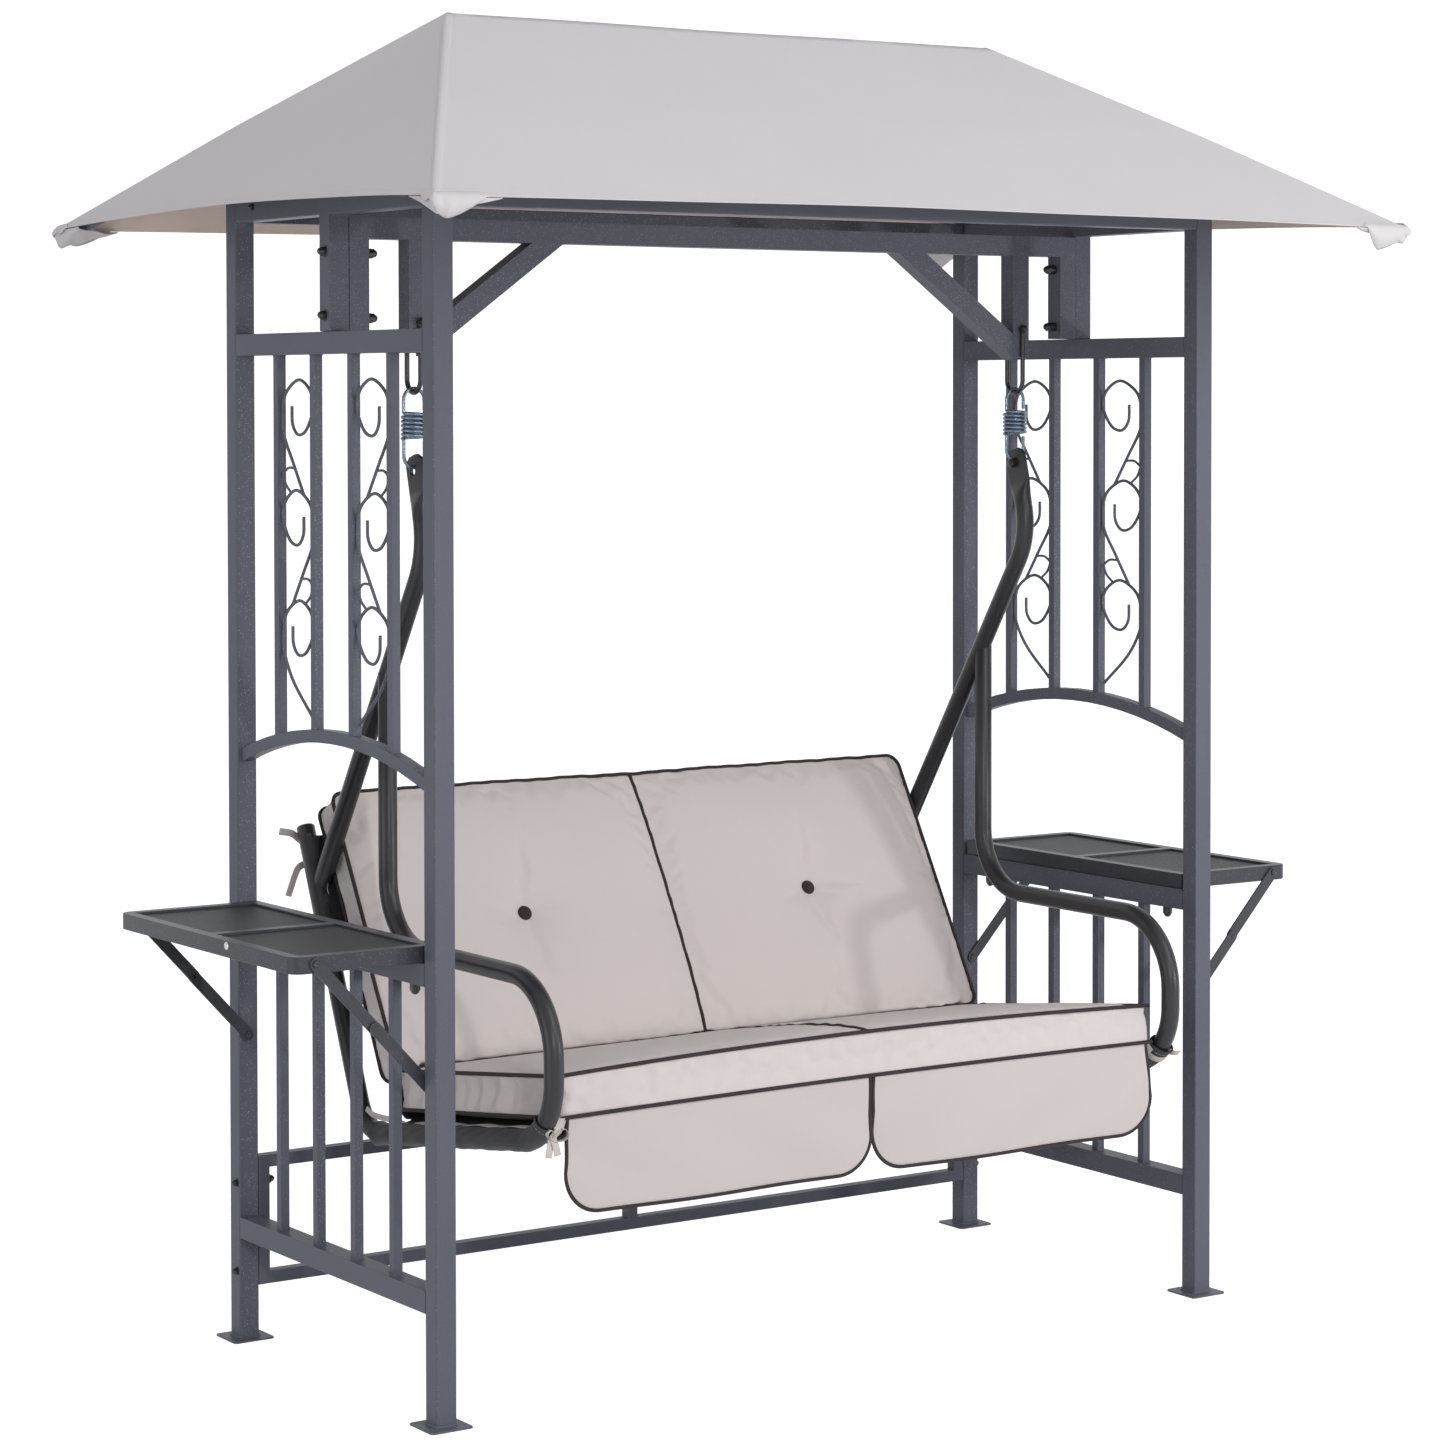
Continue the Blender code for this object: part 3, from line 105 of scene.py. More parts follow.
def make_object(name, points, quads, paint, uv=None, weld=2e-5, outward=True):
    """Object at the origin from points and quads: doubles welded, then faces turned outward."""
    mesh = bpy.data.meshes.new(name)
    mesh.from_pydata(points.reshape(-1, 3).tolist(), [], quads.tolist())
    if uv is not None:
        layer = mesh.uv_layers.new(name="cloth")
        corner = np.zeros(len(mesh.loops), np.int32)
        mesh.loops.foreach_get("vertex_index", corner)
        layer.data.foreach_set("uv", uv.reshape(-1, 2)[corner].astype(np.float32).ravel())
    bm = bmesh.new()
    bm.from_mesh(mesh)
    bmesh.ops.remove_doubles(bm, verts=bm.verts, dist=weld)
    bmesh.ops.dissolve_degenerate(bm, edges=bm.edges, dist=1e-7)
    if outward:
        bmesh.ops.recalc_face_normals(bm, faces=bm.faces)
    bm.to_mesh(mesh)
    bm.free()
    mesh.polygons.foreach_set("use_smooth", np.ones(len(mesh.polygons), bool))
    obj = bpy.data.objects.new(name, mesh)
    bpy.context.scene.collection.objects.link(obj)
    mesh.materials.append(paint)
    return obj


def unit(vectors):
    return vectors / np.maximum(np.linalg.norm(vectors, axis=-1, keepdims=True), 1e-12)


def ring_along(path, radius, sides=12, across=(1.0, 0.0, 0.0), closed=False, flat=1.0):
    """Points (n, sides, 3): a ring of that radius about each path point, square to the path.

    The ring's first axis is the path's direction crossed with `across`; flat squeezes it."""
    path = np.asarray(path, float)
    if closed:
        ahead, behind = np.roll(path, -1, 0), np.roll(path, 1, 0)
    else:
        ahead, behind = np.vstack([path[1:], path[-1:]]), np.vstack([path[:1], path[:-1]])
    tangent = unit(ahead - behind)
    across = np.broadcast_to(np.asarray(across, float), path.shape)
    first = unit(np.cross(tangent, across))
    second = np.cross(tangent, first)
    angle = np.linspace(0, 2 * math.pi, sides, endpoint=False)
    radius = np.broadcast_to(np.asarray(radius, float), (len(path),))[:, None, None]
    ring = (first[:, None, :] * np.cos(angle)[None, :, None] * flat
            + second[:, None, :] * np.sin(angle)[None, :, None])
    return path[:, None, :] + ring * radius


def capped(rings):
    """Adds a domed end to an open rod: two more rings, the last one a point."""
    start, end = rings[0], rings[-1]
    start_mid, end_mid = start.mean(0), end.mean(0)
    lead = unit(start_mid - rings[1].mean(0)) * np.linalg.norm(start[0] - start_mid) * 0.3
    trail = unit(end_mid - rings[-2].mean(0)) * np.linalg.norm(end[0] - end_mid) * 0.3
    head = [np.broadcast_to(start_mid + lead, start.shape),
            start_mid + (start - start_mid) * 0.8 + lead * 0.6]
    tail = [end_mid + (end - end_mid) * 0.8 + trail * 0.6,
            np.broadcast_to(end_mid + trail, end.shape)]
    return np.concatenate([np.stack(head), rings, np.stack(tail)])


def joined(parts):
    """Points and quads of several grids as one mesh; a part is (grid, wrap rows, wrap columns)."""
    points, quads, count = [], [], 0
    for grid, wrap_rows, wrap_columns in parts:
        points.append(grid.reshape(-1, 3))
        quads.append(grid_quads(*grid.shape[:2], wrap_rows, wrap_columns, count))
        count += len(points[-1])
    return np.concatenate(points), np.concatenate(quads)


def rods(name, runs, paint, sides=12, across=(1.0, 0.0, 0.0), flat=1.0, closed=False):
    """One piece of several rods; a run is (path, radius). Open rods get domed ends."""
    rings = [ring_along(path, radius, sides, across, closed, flat) for path, radius in runs]
    parts = [(ring if closed else capped(ring), closed, True) for ring in rings]
    return make_object(name, *joined(parts), paint)


def sheet(name, grid, paint, thickness, uv=None, weld=2e-5):
    """Open sheet from a grid of points, with half of its thickness to each side."""
    piece = make_object(name, grid, grid_quads(*grid.shape[:2]), paint, uv, weld)
    wall = piece.modifiers.new("cloth", "SOLIDIFY")
    wall.thickness = thickness
    wall.offset = 0.0
    return piece


def crease(mesh, degrees):
    """Edges that turn by more than that angle stay sharp in the shading."""
    bm = bmesh.new()
    bm.from_mesh(mesh)
    for edge in bm.edges:
        edge.smooth = edge.calc_face_angle(0.0) < math.radians(degrees)
    bm.to_mesh(mesh)
    bm.free()


def dress(piece, body, slot, *nodes):
    """The piece rides on a body and stands for the CAD nodes named; the slot is not used."""
    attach(piece, body)
    if nodes:
        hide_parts(*nodes)
    return piece


def ease(x):
    """Smooth step 3x^2 - 2x^3, held at 0 before x = 0 and at 1 after x = 1."""
    x = np.clip(x, 0, 1)
    return x * x * (3 - 2 * x)


def distances(path):
    """Distance along a path to each of its points."""
    return np.concatenate([[0], np.cumsum(np.linalg.norm(np.diff(path, axis=0), axis=1))])


def even_path(path, step, rounds):
    """Resamples a path at even steps, then averages each point with its neighbours."""
    path = np.asarray(path, float)
    along = distances(path)
    spots = np.linspace(0, along[-1], int(along[-1] / step))
    path = np.stack([np.interp(spots, along, path[:, i]) for i in range(3)], -1)
    for _ in range(rounds):
        path[1:-1] = (path[:-2] + 2 * path[1:-1] + path[2:]) / 4
    return path


def smooth_curve(points, steps=6):
    """Catmull-Rom curve through the points: a cubic between neighbours, tangent to its next ones."""
    p = np.asarray(points, float)
    p = np.vstack([2 * p[:1] - p[1:2], p, 2 * p[-1:] - p[-2:-1]])
    t = np.linspace(0, 1, steps, endpoint=False)[None, :, None]
    a, b, c, d = (p[i:len(p) - 3 + i, None, :] for i in range(4))
    spots = 0.5 * (2 * b + (c - a) * t + (2 * a - 5 * b + 4 * c - d) * t ** 2
                   + (3 * b - a - 3 * c + d) * t ** 3)
    return np.vstack([spots.reshape(-1, p.shape[1]), p[-2:-1]])


def rounded_path(corners, radii, steps=10):
    """Path through corner points with an arc of given radius at each inner corner."""
    corners = [np.asarray(c, float) for c in corners]
    path = [corners[0]]
    for before, corner, after, radius in zip(corners, corners[1:], corners[2:], radii):
        u, v = unit(before - corner), unit(after - corner)
        half = math.acos(np.clip(u @ v, -1, 1)) / 2
        reach = radius / math.tan(half)
        centre = corner + unit(u + v) * (radius / math.sin(half))
        start, stop = corner + u * reach - centre, corner + v * reach - centre
        total = math.pi - 2 * half
        share = np.linspace(0, 1, steps + 1)[:, None]
        arc = (np.sin((1 - share) * total) * start + np.sin(share * total) * stop) / math.sin(total)
        path.extend(centre + arc)
    path.append(corners[-1])
    return np.array(path)


print("mesh helpers ready")

# %% [markdown]
# ## Floor and light
# A product photograph stands on a pale sweep of paper that curves up behind it, so no horizon
# shows. The paper is one profile carried sideways. Two small lamps stand where the shadows of the
# posts and the armrests in the photograph point, and three large ones fill the rest. A ray that
# comes straight from the camera, off a mirror or through glass sees plain white round the seat.

# %% Backdrop, lamps and world
def plug(tree, socket, value):
    """Gives a socket a number, a vector or a colour, or wires it to another node's output."""
    if isinstance(value, bpy.types.NodeSocket):
        tree.links.new(value, socket)
    else:
        socket.default_value = (*value, 1) if socket.type == "RGBA" else value


def add_node(tree, kind, group=None, **values):
    """New node with values on the inputs of these names."""
    node = tree.nodes.new("ShaderNode" + kind)
    if group:
        node.node_tree = group
    for label, value in values.items():
        plug(tree, node.inputs[label.replace("_", " ")], value)
    return node


def math_node(tree, operation, *values, clamp=False):
    """Result of one operation on numbers or other nodes' outputs."""
    node = add_node(tree, "Math")
    node.operation, node.use_clamp = operation, clamp
    for socket, value in zip(node.inputs, values):
        plug(tree, socket, value)
    return node.outputs[0]


def node_material(name):
    """New material with an empty node tree; gives both."""
    material = bpy.data.materials.new(name)
    material.use_nodes = True
    material.node_tree.nodes.clear()
    return material, material.node_tree


def seen_directly(tree):
    """1 for a ray from the camera, off a mirror or through glass, 0 for one that only lights."""
    ray = add_node(tree, "LightPath")
    seen = ray.outputs["Is Camera Ray"]
    for kind in ("Glossy", "Transmission"):
        seen = math_node(tree, "MAXIMUM", seen, ray.outputs[f"Is {kind} Ray"])
    return seen


def mix_shaders(tree, lighting, seen, output):
    """One shader for the rays that only light, another one for those that are seen."""
    mixer = add_node(tree, "MixShader")
    values = (seen_directly(tree), lighting.outputs[0], seen.outputs[0])
    for socket, value in zip(mixer.inputs, values):
        tree.links.new(value, socket)
    add_node(tree, output, Surface=mixer.outputs[0])


paper, tree = node_material("studio_paper")
diffuse = add_node(tree, "BsdfDiffuse", Color=(0.66, 0.66, 0.66))
glow = add_node(tree, "Emission", Color=(1, 1, 1), Strength=0.80)
bright = add_node(tree, "AddShader")
tree.links.new(diffuse.outputs[0], bright.inputs[0])
tree.links.new(glow.outputs[0], bright.inputs[1])
mix_shaders(tree, diffuse, bright, "OutputMaterial")

sweep_angle = np.linspace(0, math.pi / 2, 24)
sweep_radius, sweep_start, paper_below = 3.0, 7.0, 0.0004
depth, height = np.concatenate([[[-14.0, 0.0]], [[sweep_start, 0.0]],
                                np.stack([sweep_start + sweep_radius * np.sin(sweep_angle),
                                          sweep_radius * (1 - np.cos(sweep_angle))], -1),
                                [[sweep_start + sweep_radius, 12.0]]]).T
along = np.linspace(-16, 16, 3)[:, None]
turn = math.radians(-34)
paper_points = np.stack([along * math.cos(turn) - depth * math.sin(turn),
                         along * math.sin(turn) + depth * math.cos(turn),
                         height - paper_below + 0 * along], -1)
backdrop = make_object("studio_backdrop", paper_points, grid_quads(*paper_points.shape[:2]), paper,
                       outward=False)
backdrop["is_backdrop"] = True


def soft_lamp(name, place, aim_height, size, power):
    """Square area lamp that faces the point at that height above the middle of the seat."""
    data = bpy.data.lights.new(name, "AREA")
    data.shape, data.size, data.energy = "SQUARE", size, power
    lamp = bpy.data.objects.new(name, data)
    bpy.context.scene.collection.objects.link(lamp)
    lamp.location = place
    aim = np.array([0.0, 0.0, aim_height]) - np.asarray(place, float)
    tilt = math.atan2(aim[2], math.hypot(aim[0], aim[1]))
    lamp.rotation_euler = (math.pi / 2 + tilt, 0, math.atan2(aim[1], aim[0]) - math.pi / 2)


def at_azimuth(degrees, distance, height):
    """Place at that angle from straight ahead of the seat, positive to the viewer's right."""
    turn = math.radians(degrees)
    return distance * math.sin(turn), -distance * math.cos(turn), height


soft_lamp("key_right", (1.9, -2.9, 0.89), aim_height=0.8, size=0.14, power=22)
soft_lamp("key_left", at_azimuth(-22, 5.1, 1.76), aim_height=0.8, size=0.18, power=44)
soft_lamp("front_box", at_azimuth(14, 4.0, 3.4), aim_height=0.9, size=2.8, power=78)
soft_lamp("side_box", at_azimuth(-85, 4.0, 0.7), aim_height=0.9, size=2.0, power=25)
soft_lamp("top_box", (0.2, -0.3, 5.2), aim_height=1.0, size=3.2, power=10)

world = bpy.data.worlds.new("studio")
bpy.context.scene.world = world
world.use_nodes = True
tree = world.node_tree
tree.nodes.clear()
skies = [add_node(tree, "Background", Color=colour, Strength=strength)
         for colour, strength in (((0.93, 0.95, 1.0), 0.60), ((1, 1, 1), 1.0))]
mix_shaders(tree, *skies, "OutputWorld")
print("stage ready")

# %% [markdown]
# ## Shared surface effects
# Powder coat and woven cloth occur on many pieces. Each effect is a shader node group, built once
# with named inputs, and placed in each material with its own values.

# %% Node group tools
def new_group(name, inputs, outputs):
    """Empty shader group; gives its tree, the outputs of its input node, and its output node.

    The first input is the vector, and the others are numbers with their usual values."""
    tree = bpy.data.node_groups.new(name, "ShaderNodeTree")
    tree.interface.new_socket("Vector", in_out="INPUT", socket_type="NodeSocketVector")
    for label, value in inputs.items():
        socket = tree.interface.new_socket(label, in_out="INPUT", socket_type="NodeSocketFloat")
        socket.default_value = value
    for label in outputs:
        tree.interface.new_socket(label, in_out="OUTPUT", socket_type="NodeSocketFloat")
    return tree, tree.nodes.new("NodeGroupInput").outputs, tree.nodes.new("NodeGroupOutput")


def noise(tree, vector, scale, detail):
    """Noise from 0 to 1 at that scale."""
    node = add_node(tree, "TexNoise", Vector=vector, Scale=scale, Detail=detail, Roughness=0.5)
    return node.outputs["Fac"]


# %% Powder coat group
# Baked powder is not smooth: it has a fine orange peel, and light flecks lie scattered in it.
# The flecks are the coat's own flakes, with their sparkle painted in as a fixed light colour.
# Cells of a Voronoi pattern give one fleck each; a random number per cell drops most of them.
coat_group, given, result = new_group(
    "powder_coat", {"Fleck Scale": 430.0, "Fleck Share": 0.2, "Peel Scale": 900.0},
    ("Fleck", "Peel", "Drift"))
cells = add_node(coat_group, "TexVoronoi", Vector=given["Vector"], Scale=given["Fleck Scale"])
lottery = add_node(coat_group, "SeparateColor", Color=cells.outputs["Color"]).outputs
drawn = math_node(coat_group, "LESS_THAN", lottery[0], given["Fleck Share"])
close = math_node(coat_group, "MULTIPLY_ADD", cells.outputs["Distance"], -6.0, 2.0, clamp=True)
rarity = math_node(coat_group, "POWER", lottery[1], 3.0)
strength = math_node(coat_group, "MULTIPLY", close, rarity)
# Each fleck lightens the colour: a flake of the coat with its sparkle painted in, a painted
# highlight.
plug(coat_group, result.inputs["Fleck"], math_node(coat_group, "MULTIPLY", strength, drawn))
plug(coat_group, result.inputs["Peel"], noise(coat_group, given["Vector"], given["Peel Scale"], 2.0))
plug(coat_group, result.inputs["Drift"], noise(coat_group, given["Vector"], 3.0, 2.0))

# %% Plain weave group
# In a plain weave each thread goes over one and under the next. Two half-wave ridges, one for
# each thread direction, take turns on a checkerboard as wide as the threads.
weave_group, given, result = new_group("plain_weave", {"Pitch": 0.0009}, ("Height", "Slub", "Cloud"))
parts = add_node(weave_group, "SeparateXYZ", Vector=given["Vector"]).outputs
turns = [math_node(weave_group, "DIVIDE", parts[axis], given["Pitch"]) for axis in range(2)]
waves = [math_node(weave_group, "SINE", math_node(weave_group, "MULTIPLY", turn, math.pi))
         for turn in turns]
ridges = [math_node(weave_group, "ABSOLUTE", wave) for wave in waves]
product = math_node(weave_group, "MULTIPLY", *waves)
over = math_node(weave_group, "GREATER_THAN", product, 0.0)
under = math_node(weave_group, "SUBTRACT", 1.0, over)
warp = math_node(weave_group, "MULTIPLY", ridges[0], over)
stretched = add_node(weave_group, "Mapping", Vector=given["Vector"], Scale=(60.0, 700.0, 700.0))
plug(weave_group, result.inputs["Height"],
     math_node(weave_group, "MULTIPLY_ADD", ridges[1], under, warp))
plug(weave_group, result.inputs["Slub"], noise(weave_group, stretched.outputs[0], 1.0, 2.0))
plug(weave_group, result.inputs["Cloud"], noise(weave_group, given["Vector"], 5.0, 3.0))
print("node groups:", [g.name for g in bpy.data.node_groups])

# %% [markdown]
# ## Paints and cloths
# The stand is charcoal powder coat with light flecks, their sparkle painted in. The hanging frame is
# darker and smoother.
# The cloth is a beige polyester; the roof is greyer and its underside warmer, because light
# comes through it. A finish puts a group's values in front of the Principled shader.

# %% Finishes
def principled(name, roughness, metallic=0.0, **constants):
    """Material with one Principled shader; gives the material, its tree and the shader's inputs."""
    material, tree = node_material(name)
    shader = add_node(tree, "BsdfPrincipled", Roughness=roughness, Metallic=metallic, **constants)
    add_node(tree, "OutputMaterial", Surface=shader.outputs[0])
    return material, tree, shader.inputs


def mix_colour(tree, factor, first, second):
    """Colour between two, by a 0 to 1 value; a colour may be another node's output."""
    node = add_node(tree, "Mix")
    node.data_type = "RGBA"
    for label, value in (("Factor", factor), ("A", first), ("B", second)):
        plug(tree, node.inputs[label], value)
    return node.outputs["Result"]


def coated(name, dark, light, fleck_sparkle_colour, share, roughness, peel_depth, metallic=0.0, **constants):
    """Powder coat: base colour drifts between dark and light, with orange peel and light flecks that
    paint in the sparkle of its flakes.
    """
    material, tree, shader = principled(name, roughness, metallic, **constants)
    place = add_node(tree, "TexCoord").outputs["Object"]
    coat = add_node(tree, "Group", coat_group, Vector=place, Fleck_Share=share).outputs
    base = mix_colour(tree, coat["Drift"], dark, light)
    plug(tree, shader["Base Color"], mix_colour(tree, coat["Fleck"], base, fleck_sparkle_colour))
    sheen = add_node(tree, "MapRange", Value=coat["Peel"], To_Min=roughness - 0.06,
                     To_Max=roughness + 0.08)
    plug(tree, shader["Roughness"], sheen.outputs[0])
    relief = add_node(tree, "Bump", Height=coat["Peel"], Distance=peel_depth, Strength=1.0)
    plug(tree, shader["Normal"], relief.outputs[0])
    return material


def woven(name, dark, light, pitch, depth, roughness=0.85, use_uv=False, **constants):
    """Plain-woven cloth: threads, slubs and a faint cloudiness between two colours. The hollows
    between the threads take the dark colour, a painted shade.

    Without its own coordinates the threads follow x and y + z, which suits both cushions."""
    material, tree, shader = principled(name, roughness, **constants)
    if use_uv:
        vector = add_node(tree, "UVMap").outputs[0]
    else:
        place = add_node(tree, "TexCoord").outputs["Object"]
        x, y, z = add_node(tree, "SeparateXYZ", Vector=place).outputs
        vector = add_node(tree, "CombineXYZ", X=x, Y=math_node(tree, "ADD", y, z), Z=z).outputs[0]
    cloth = add_node(tree, "Group", weave_group, Vector=vector, Pitch=pitch).outputs
    # The threads' height darkens the hollows between them, painted shade; slubs and the cloudiness
    # are the cloth's own colour.
    weave_shade_and_tone = math_node(tree, "MULTIPLY_ADD", cloth["Height"], 0.45, 0.0)
    weave_shade_and_tone = math_node(tree, "MULTIPLY_ADD", cloth["Slub"], 0.25, weave_shade_and_tone)
    weave_shade_and_tone = math_node(tree, "MULTIPLY_ADD", cloth["Cloud"], 0.30, weave_shade_and_tone, clamp=True)
    plug(tree, shader["Base Color"], mix_colour(tree, weave_shade_and_tone, dark, light))
    relief = add_node(tree, "Bump", Height=cloth["Height"], Distance=depth, Strength=1.0)
    plug(tree, shader["Normal"], relief.outputs[0])
    return material


stand_paint = coated("stand_powder_coat", (0.094, 0.098, 0.124), (0.122, 0.127, 0.160),
                     (0.42, 0.43, 0.47), 0.55, 0.42, 0.00015, Specular_IOR_Level=0.12)
tray_paint = coated("tray_powder_coat", (0.032, 0.034, 0.042), (0.043, 0.045, 0.056),
                    (0.20, 0.21, 0.23), 0.40, 0.40, 0.00015, Specular_IOR_Level=0.30)
seat_paint = coated("seat_powder_coat", (0.015, 0.015, 0.017), (0.024, 0.024, 0.027),
                    (0.10, 0.10, 0.11), 0.05, 0.33, 0.00010, Specular_IOR_Level=0.34)
hardware_black = coated("blackened_steel", (0.012, 0.012, 0.014), (0.020, 0.020, 0.023),
                        (0.05, 0.05, 0.05), 0.03, 0.35, 0.00005)
rivet_steel = coated("bright_rivet", (0.42, 0.43, 0.45), (0.58, 0.59, 0.60),
                     (0.75, 0.75, 0.76), 0.10, 0.28, 0.00004, metallic=1.0)
zinc = coated("zinc_plating", (0.09, 0.13, 0.19), (0.22, 0.29, 0.37),
              (0.60, 0.66, 0.72), 0.25, 0.20, 0.00003, metallic=0.62)
roof_cloth = woven("roof_cloth", (0.544, 0.518, 0.518), (0.622, 0.596, 0.596), 0.0011, 0.00012,
                   use_uv=True, Sheen_Weight=0.12, Sheen_Roughness=0.6)
roof_under = woven("roof_cloth_underside", (0.550, 0.445, 0.388), (0.638, 0.517, 0.447), 0.0011,
                   0.00012, use_uv=True)
cushion_cloth = woven("cushion_cloth", (0.590, 0.530, 0.510), (0.680, 0.620, 0.600), 0.0010,
                      0.00016, Sheen_Weight=0.15, Sheen_Roughness=0.5)
# The skirts' cloth is the cushion cloth made darker: painted shade on the hanging flaps.
skirt_cloth_shaded = woven("skirt_cloth_shaded", (0.520, 0.470, 0.455), (0.600, 0.549, 0.534), 0.0010, 0.00014,
                    use_uv=True, Sheen_Weight=0.15, Sheen_Roughness=0.5)
piping_cloth = woven("piping_cloth", (0.014, 0.008, 0.009), (0.030, 0.018, 0.019), 0.0008, 0.00014)
sling_cloth = woven("sling_cloth", (0.008, 0.008, 0.010), (0.022, 0.022, 0.025), 0.0016, 0.0003,
                    roughness=0.6)
tie_cloth = woven("tie_tape", (0.50, 0.45, 0.42), (0.66, 0.60, 0.57), 0.0007, 0.00015)
thread_grey = woven("sewing_thread", (0.20, 0.20, 0.21), (0.34, 0.34, 0.35), 0.0005, 0.00005)
# The mesh's near-black colour fills the gaps between the wires: painted shade.
tray_wire_and_gap_shade = woven("tray_wire_mesh", (0.004, 0.004, 0.005), (0.036, 0.038, 0.044), 0.0016, 0.0004,
                  roughness=0.5, use_uv=True, Specular_IOR_Level=0.25)
print("materials:", sorted(m.name for m in bpy.data.materials))

# %% [markdown]
# ## The steel, with rounded edges
# Square tube is rolled, so its edges are round, and round tube has no facets. Each steel node is
# copied, its loose triangles are merged, flat faces become one, and a bevel rounds what is sharp.
# The copy then stands for the node.

# %% Dress the steel nodes
def steel(node, paint, body, edge=0.0, slot="frame_paint"):
    """Merged copy of a CAD node, smooth across shallow angles and bevelled at the sharp ones."""
    sharp = 35.0
    bm = bmesh.new()
    bm.from_mesh(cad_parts[node].data)
    bmesh.ops.remove_doubles(bm, verts=bm.verts, dist=1e-5)
    bmesh.ops.dissolve_limit(bm, angle_limit=math.radians(0.4), verts=bm.verts, edges=bm.edges)
    for face in bm.faces:
        face.smooth = True
    mesh = bpy.data.meshes.new(node + "_steel")
    bm.to_mesh(mesh)
    bm.free()
    crease(mesh, sharp)
    mesh.materials.append(paint)
    obj = bpy.data.objects.new(node + "_steel", mesh)
    bpy.context.scene.collection.objects.link(obj)
    if edge:
        round_edges = obj.modifiers.new("rolled edge", "BEVEL")
        round_edges.width = edge
        round_edges.segments = 2
        round_edges.limit_method = "ANGLE"
        round_edges.angle_limit = math.radians(sharp)
        round_edges.harden_normals = True
    dress(obj, body, slot, node)


ends = (("front", -1), ("rear", 1))
sides = (("left", -1), ("right", 1))
for end, fore in ends:
    steel(f"top_beam_{end}", stand_paint, "stand", 0.002)
    for side, hand in sides:
        steel(f"post_{end}_{side}", stand_paint, "stand", 0.0025)
        steel(f"foot_plate_{end}_{side}", stand_paint, "stand", 0.0005)
        steel(f"rafter_{end}_{side}", stand_paint, "stand")
steel("swing_beam", stand_paint, "stand", 0.002)
steel("rear_ladder", stand_paint, "stand", 0.0012)
steel("ridge_bar", stand_paint, "stand")
for side, hand in sides:
    steel(f"upper_grille_{side}", stand_paint, "stand", 0.0008)
    steel(f"lower_grille_{side}", stand_paint, "stand", 0.0008)
    steel(f"top_rail_{side}", stand_paint, "stand", 0.002)
    steel(f"tray_frame_{side}", tray_paint, f"tray_{side}", 0.0012)
    for end, fore in ends:
        for level in ("upper", "lower"):
            name = f"stay_{level}_{side}_{end}"
            steel(name, tray_paint, name, 0.0004)
for place in ("front", "rear", "top"):
    steel(f"cross_tube_{place}", seat_paint, "seat", slot="seat_paint")

# %% [markdown]
# ## Scrollwork
# Each scroll is one wire: an inner curl, a head that leans on both balusters, and a long tail to the
# next scroll. The same few shares of the bay place it as in the CAD part. A Catmull-Rom curve
# through them gives the bent wire its even sweep, and a thin round section follows the curve.

# %% Scroll wires
post_x, hang_x = 0.730, 0.592
arch_run = (0.300 ** 2 + 0.050 ** 2) / (2 * 0.050)
bay_near, bay_far = 0.07105, 0.17195
scroll_top = 1.536
scroll_foot = 0.989 - arch_run + math.sqrt(arch_run ** 2 - bay_near ** 2) + 0.010 + 0.0173
scroll_shares = ((0.69, 0.240), (0.67, 0.400), (0.50, 0.494), (0.25, 0.464), (0.05, 0.330),
                 (0.00, 0.200), (0.13, 0.078), (0.42, 0.000), (0.70, 0.044), (0.93, 0.150),
                 (1.00, 0.320), (0.96, 0.500), (0.66, 0.750), (0.30, 1.046))
leaf_shares = (((0.60, 0.800), (0.82, 0.800), (0.985, 0.855)),
               ((0.74, 1.020), (0.90, 0.950), (0.985, 0.855)))
scroll_pitch = (scroll_top - scroll_foot) / (2 + scroll_shares[-1][1])


def bay_points(shares, number, hand, fore, last=False):
    """Shares across and down one scroll become points; every second scroll is turned about."""
    shares = np.array(shares)
    if last:
        shares[-1, 0] = 0.04
    across = 1 - shares[:, 0] if number % 2 else shares[:, 0]
    y = fore * (bay_near + across * (bay_far - bay_near))
    return np.stack([np.full(len(y), hand * post_x), y,
                     scroll_top - (number + shares[:, 1]) * scroll_pitch], -1)


for side, hand in sides:
    for end, fore in ends:
        runs = []
        for number in range(3):
            wire = bay_points(scroll_shares, number, hand, fore, number == 2)
            runs.append((smooth_curve(wire, 7), 0.0026))
            if number < 2:
                runs += [(smooth_curve(bay_points(leaf, number, hand, fore), 8), 0.0021)
                         for leaf in leaf_shares]
        dress(rods(f"scroll_wires_{side}_{end}", runs, stand_paint, 10), "stand", "frame_paint",
              f"scroll_{side}_{end}")
print("scrolls done, pitch", round(scroll_pitch, 4))

# %% [markdown]
# ## Bow and spring
# The seat hangs on a rod bent into a bow, and a zinc-plated spring hooks into it. The spring is one
# wire: half a circle, a straight leg, six turns, another leg and another half circle. The path is
# resampled evenly and averaged a little, so the wire bends where it leaves the coil.

# %% Hanger bows
bow_radius, bow_half, bow_corner = 0.004, 0.017 + 0.0043, 0.010
bow_low, bow_high = 1.516, 1.625
turn_down = np.linspace(math.pi, 2 * math.pi, 25)
corner = np.linspace(0, math.pi / 2, 8)
y = np.concatenate([bow_half * np.cos(turn_down), bow_half - bow_corner + bow_corner * np.cos(corner),
                    bow_corner - bow_half - bow_corner * np.sin(corner)])
z = np.concatenate([bow_low + bow_half + bow_half * np.sin(turn_down),
                    bow_high - bow_corner + bow_corner * np.sin(corner),
                    bow_high - bow_corner + bow_corner * np.cos(corner)])
for side, hand in sides:
    path = np.stack([np.full_like(y, hand * hang_x), y, z], -1)
    dress(rods(f"bow_rod_{side}", [(path, bow_radius)], hardware_black, 14, closed=True), "stand",
          "frame_paint", f"hanger_bow_{side}")
print("bows done")

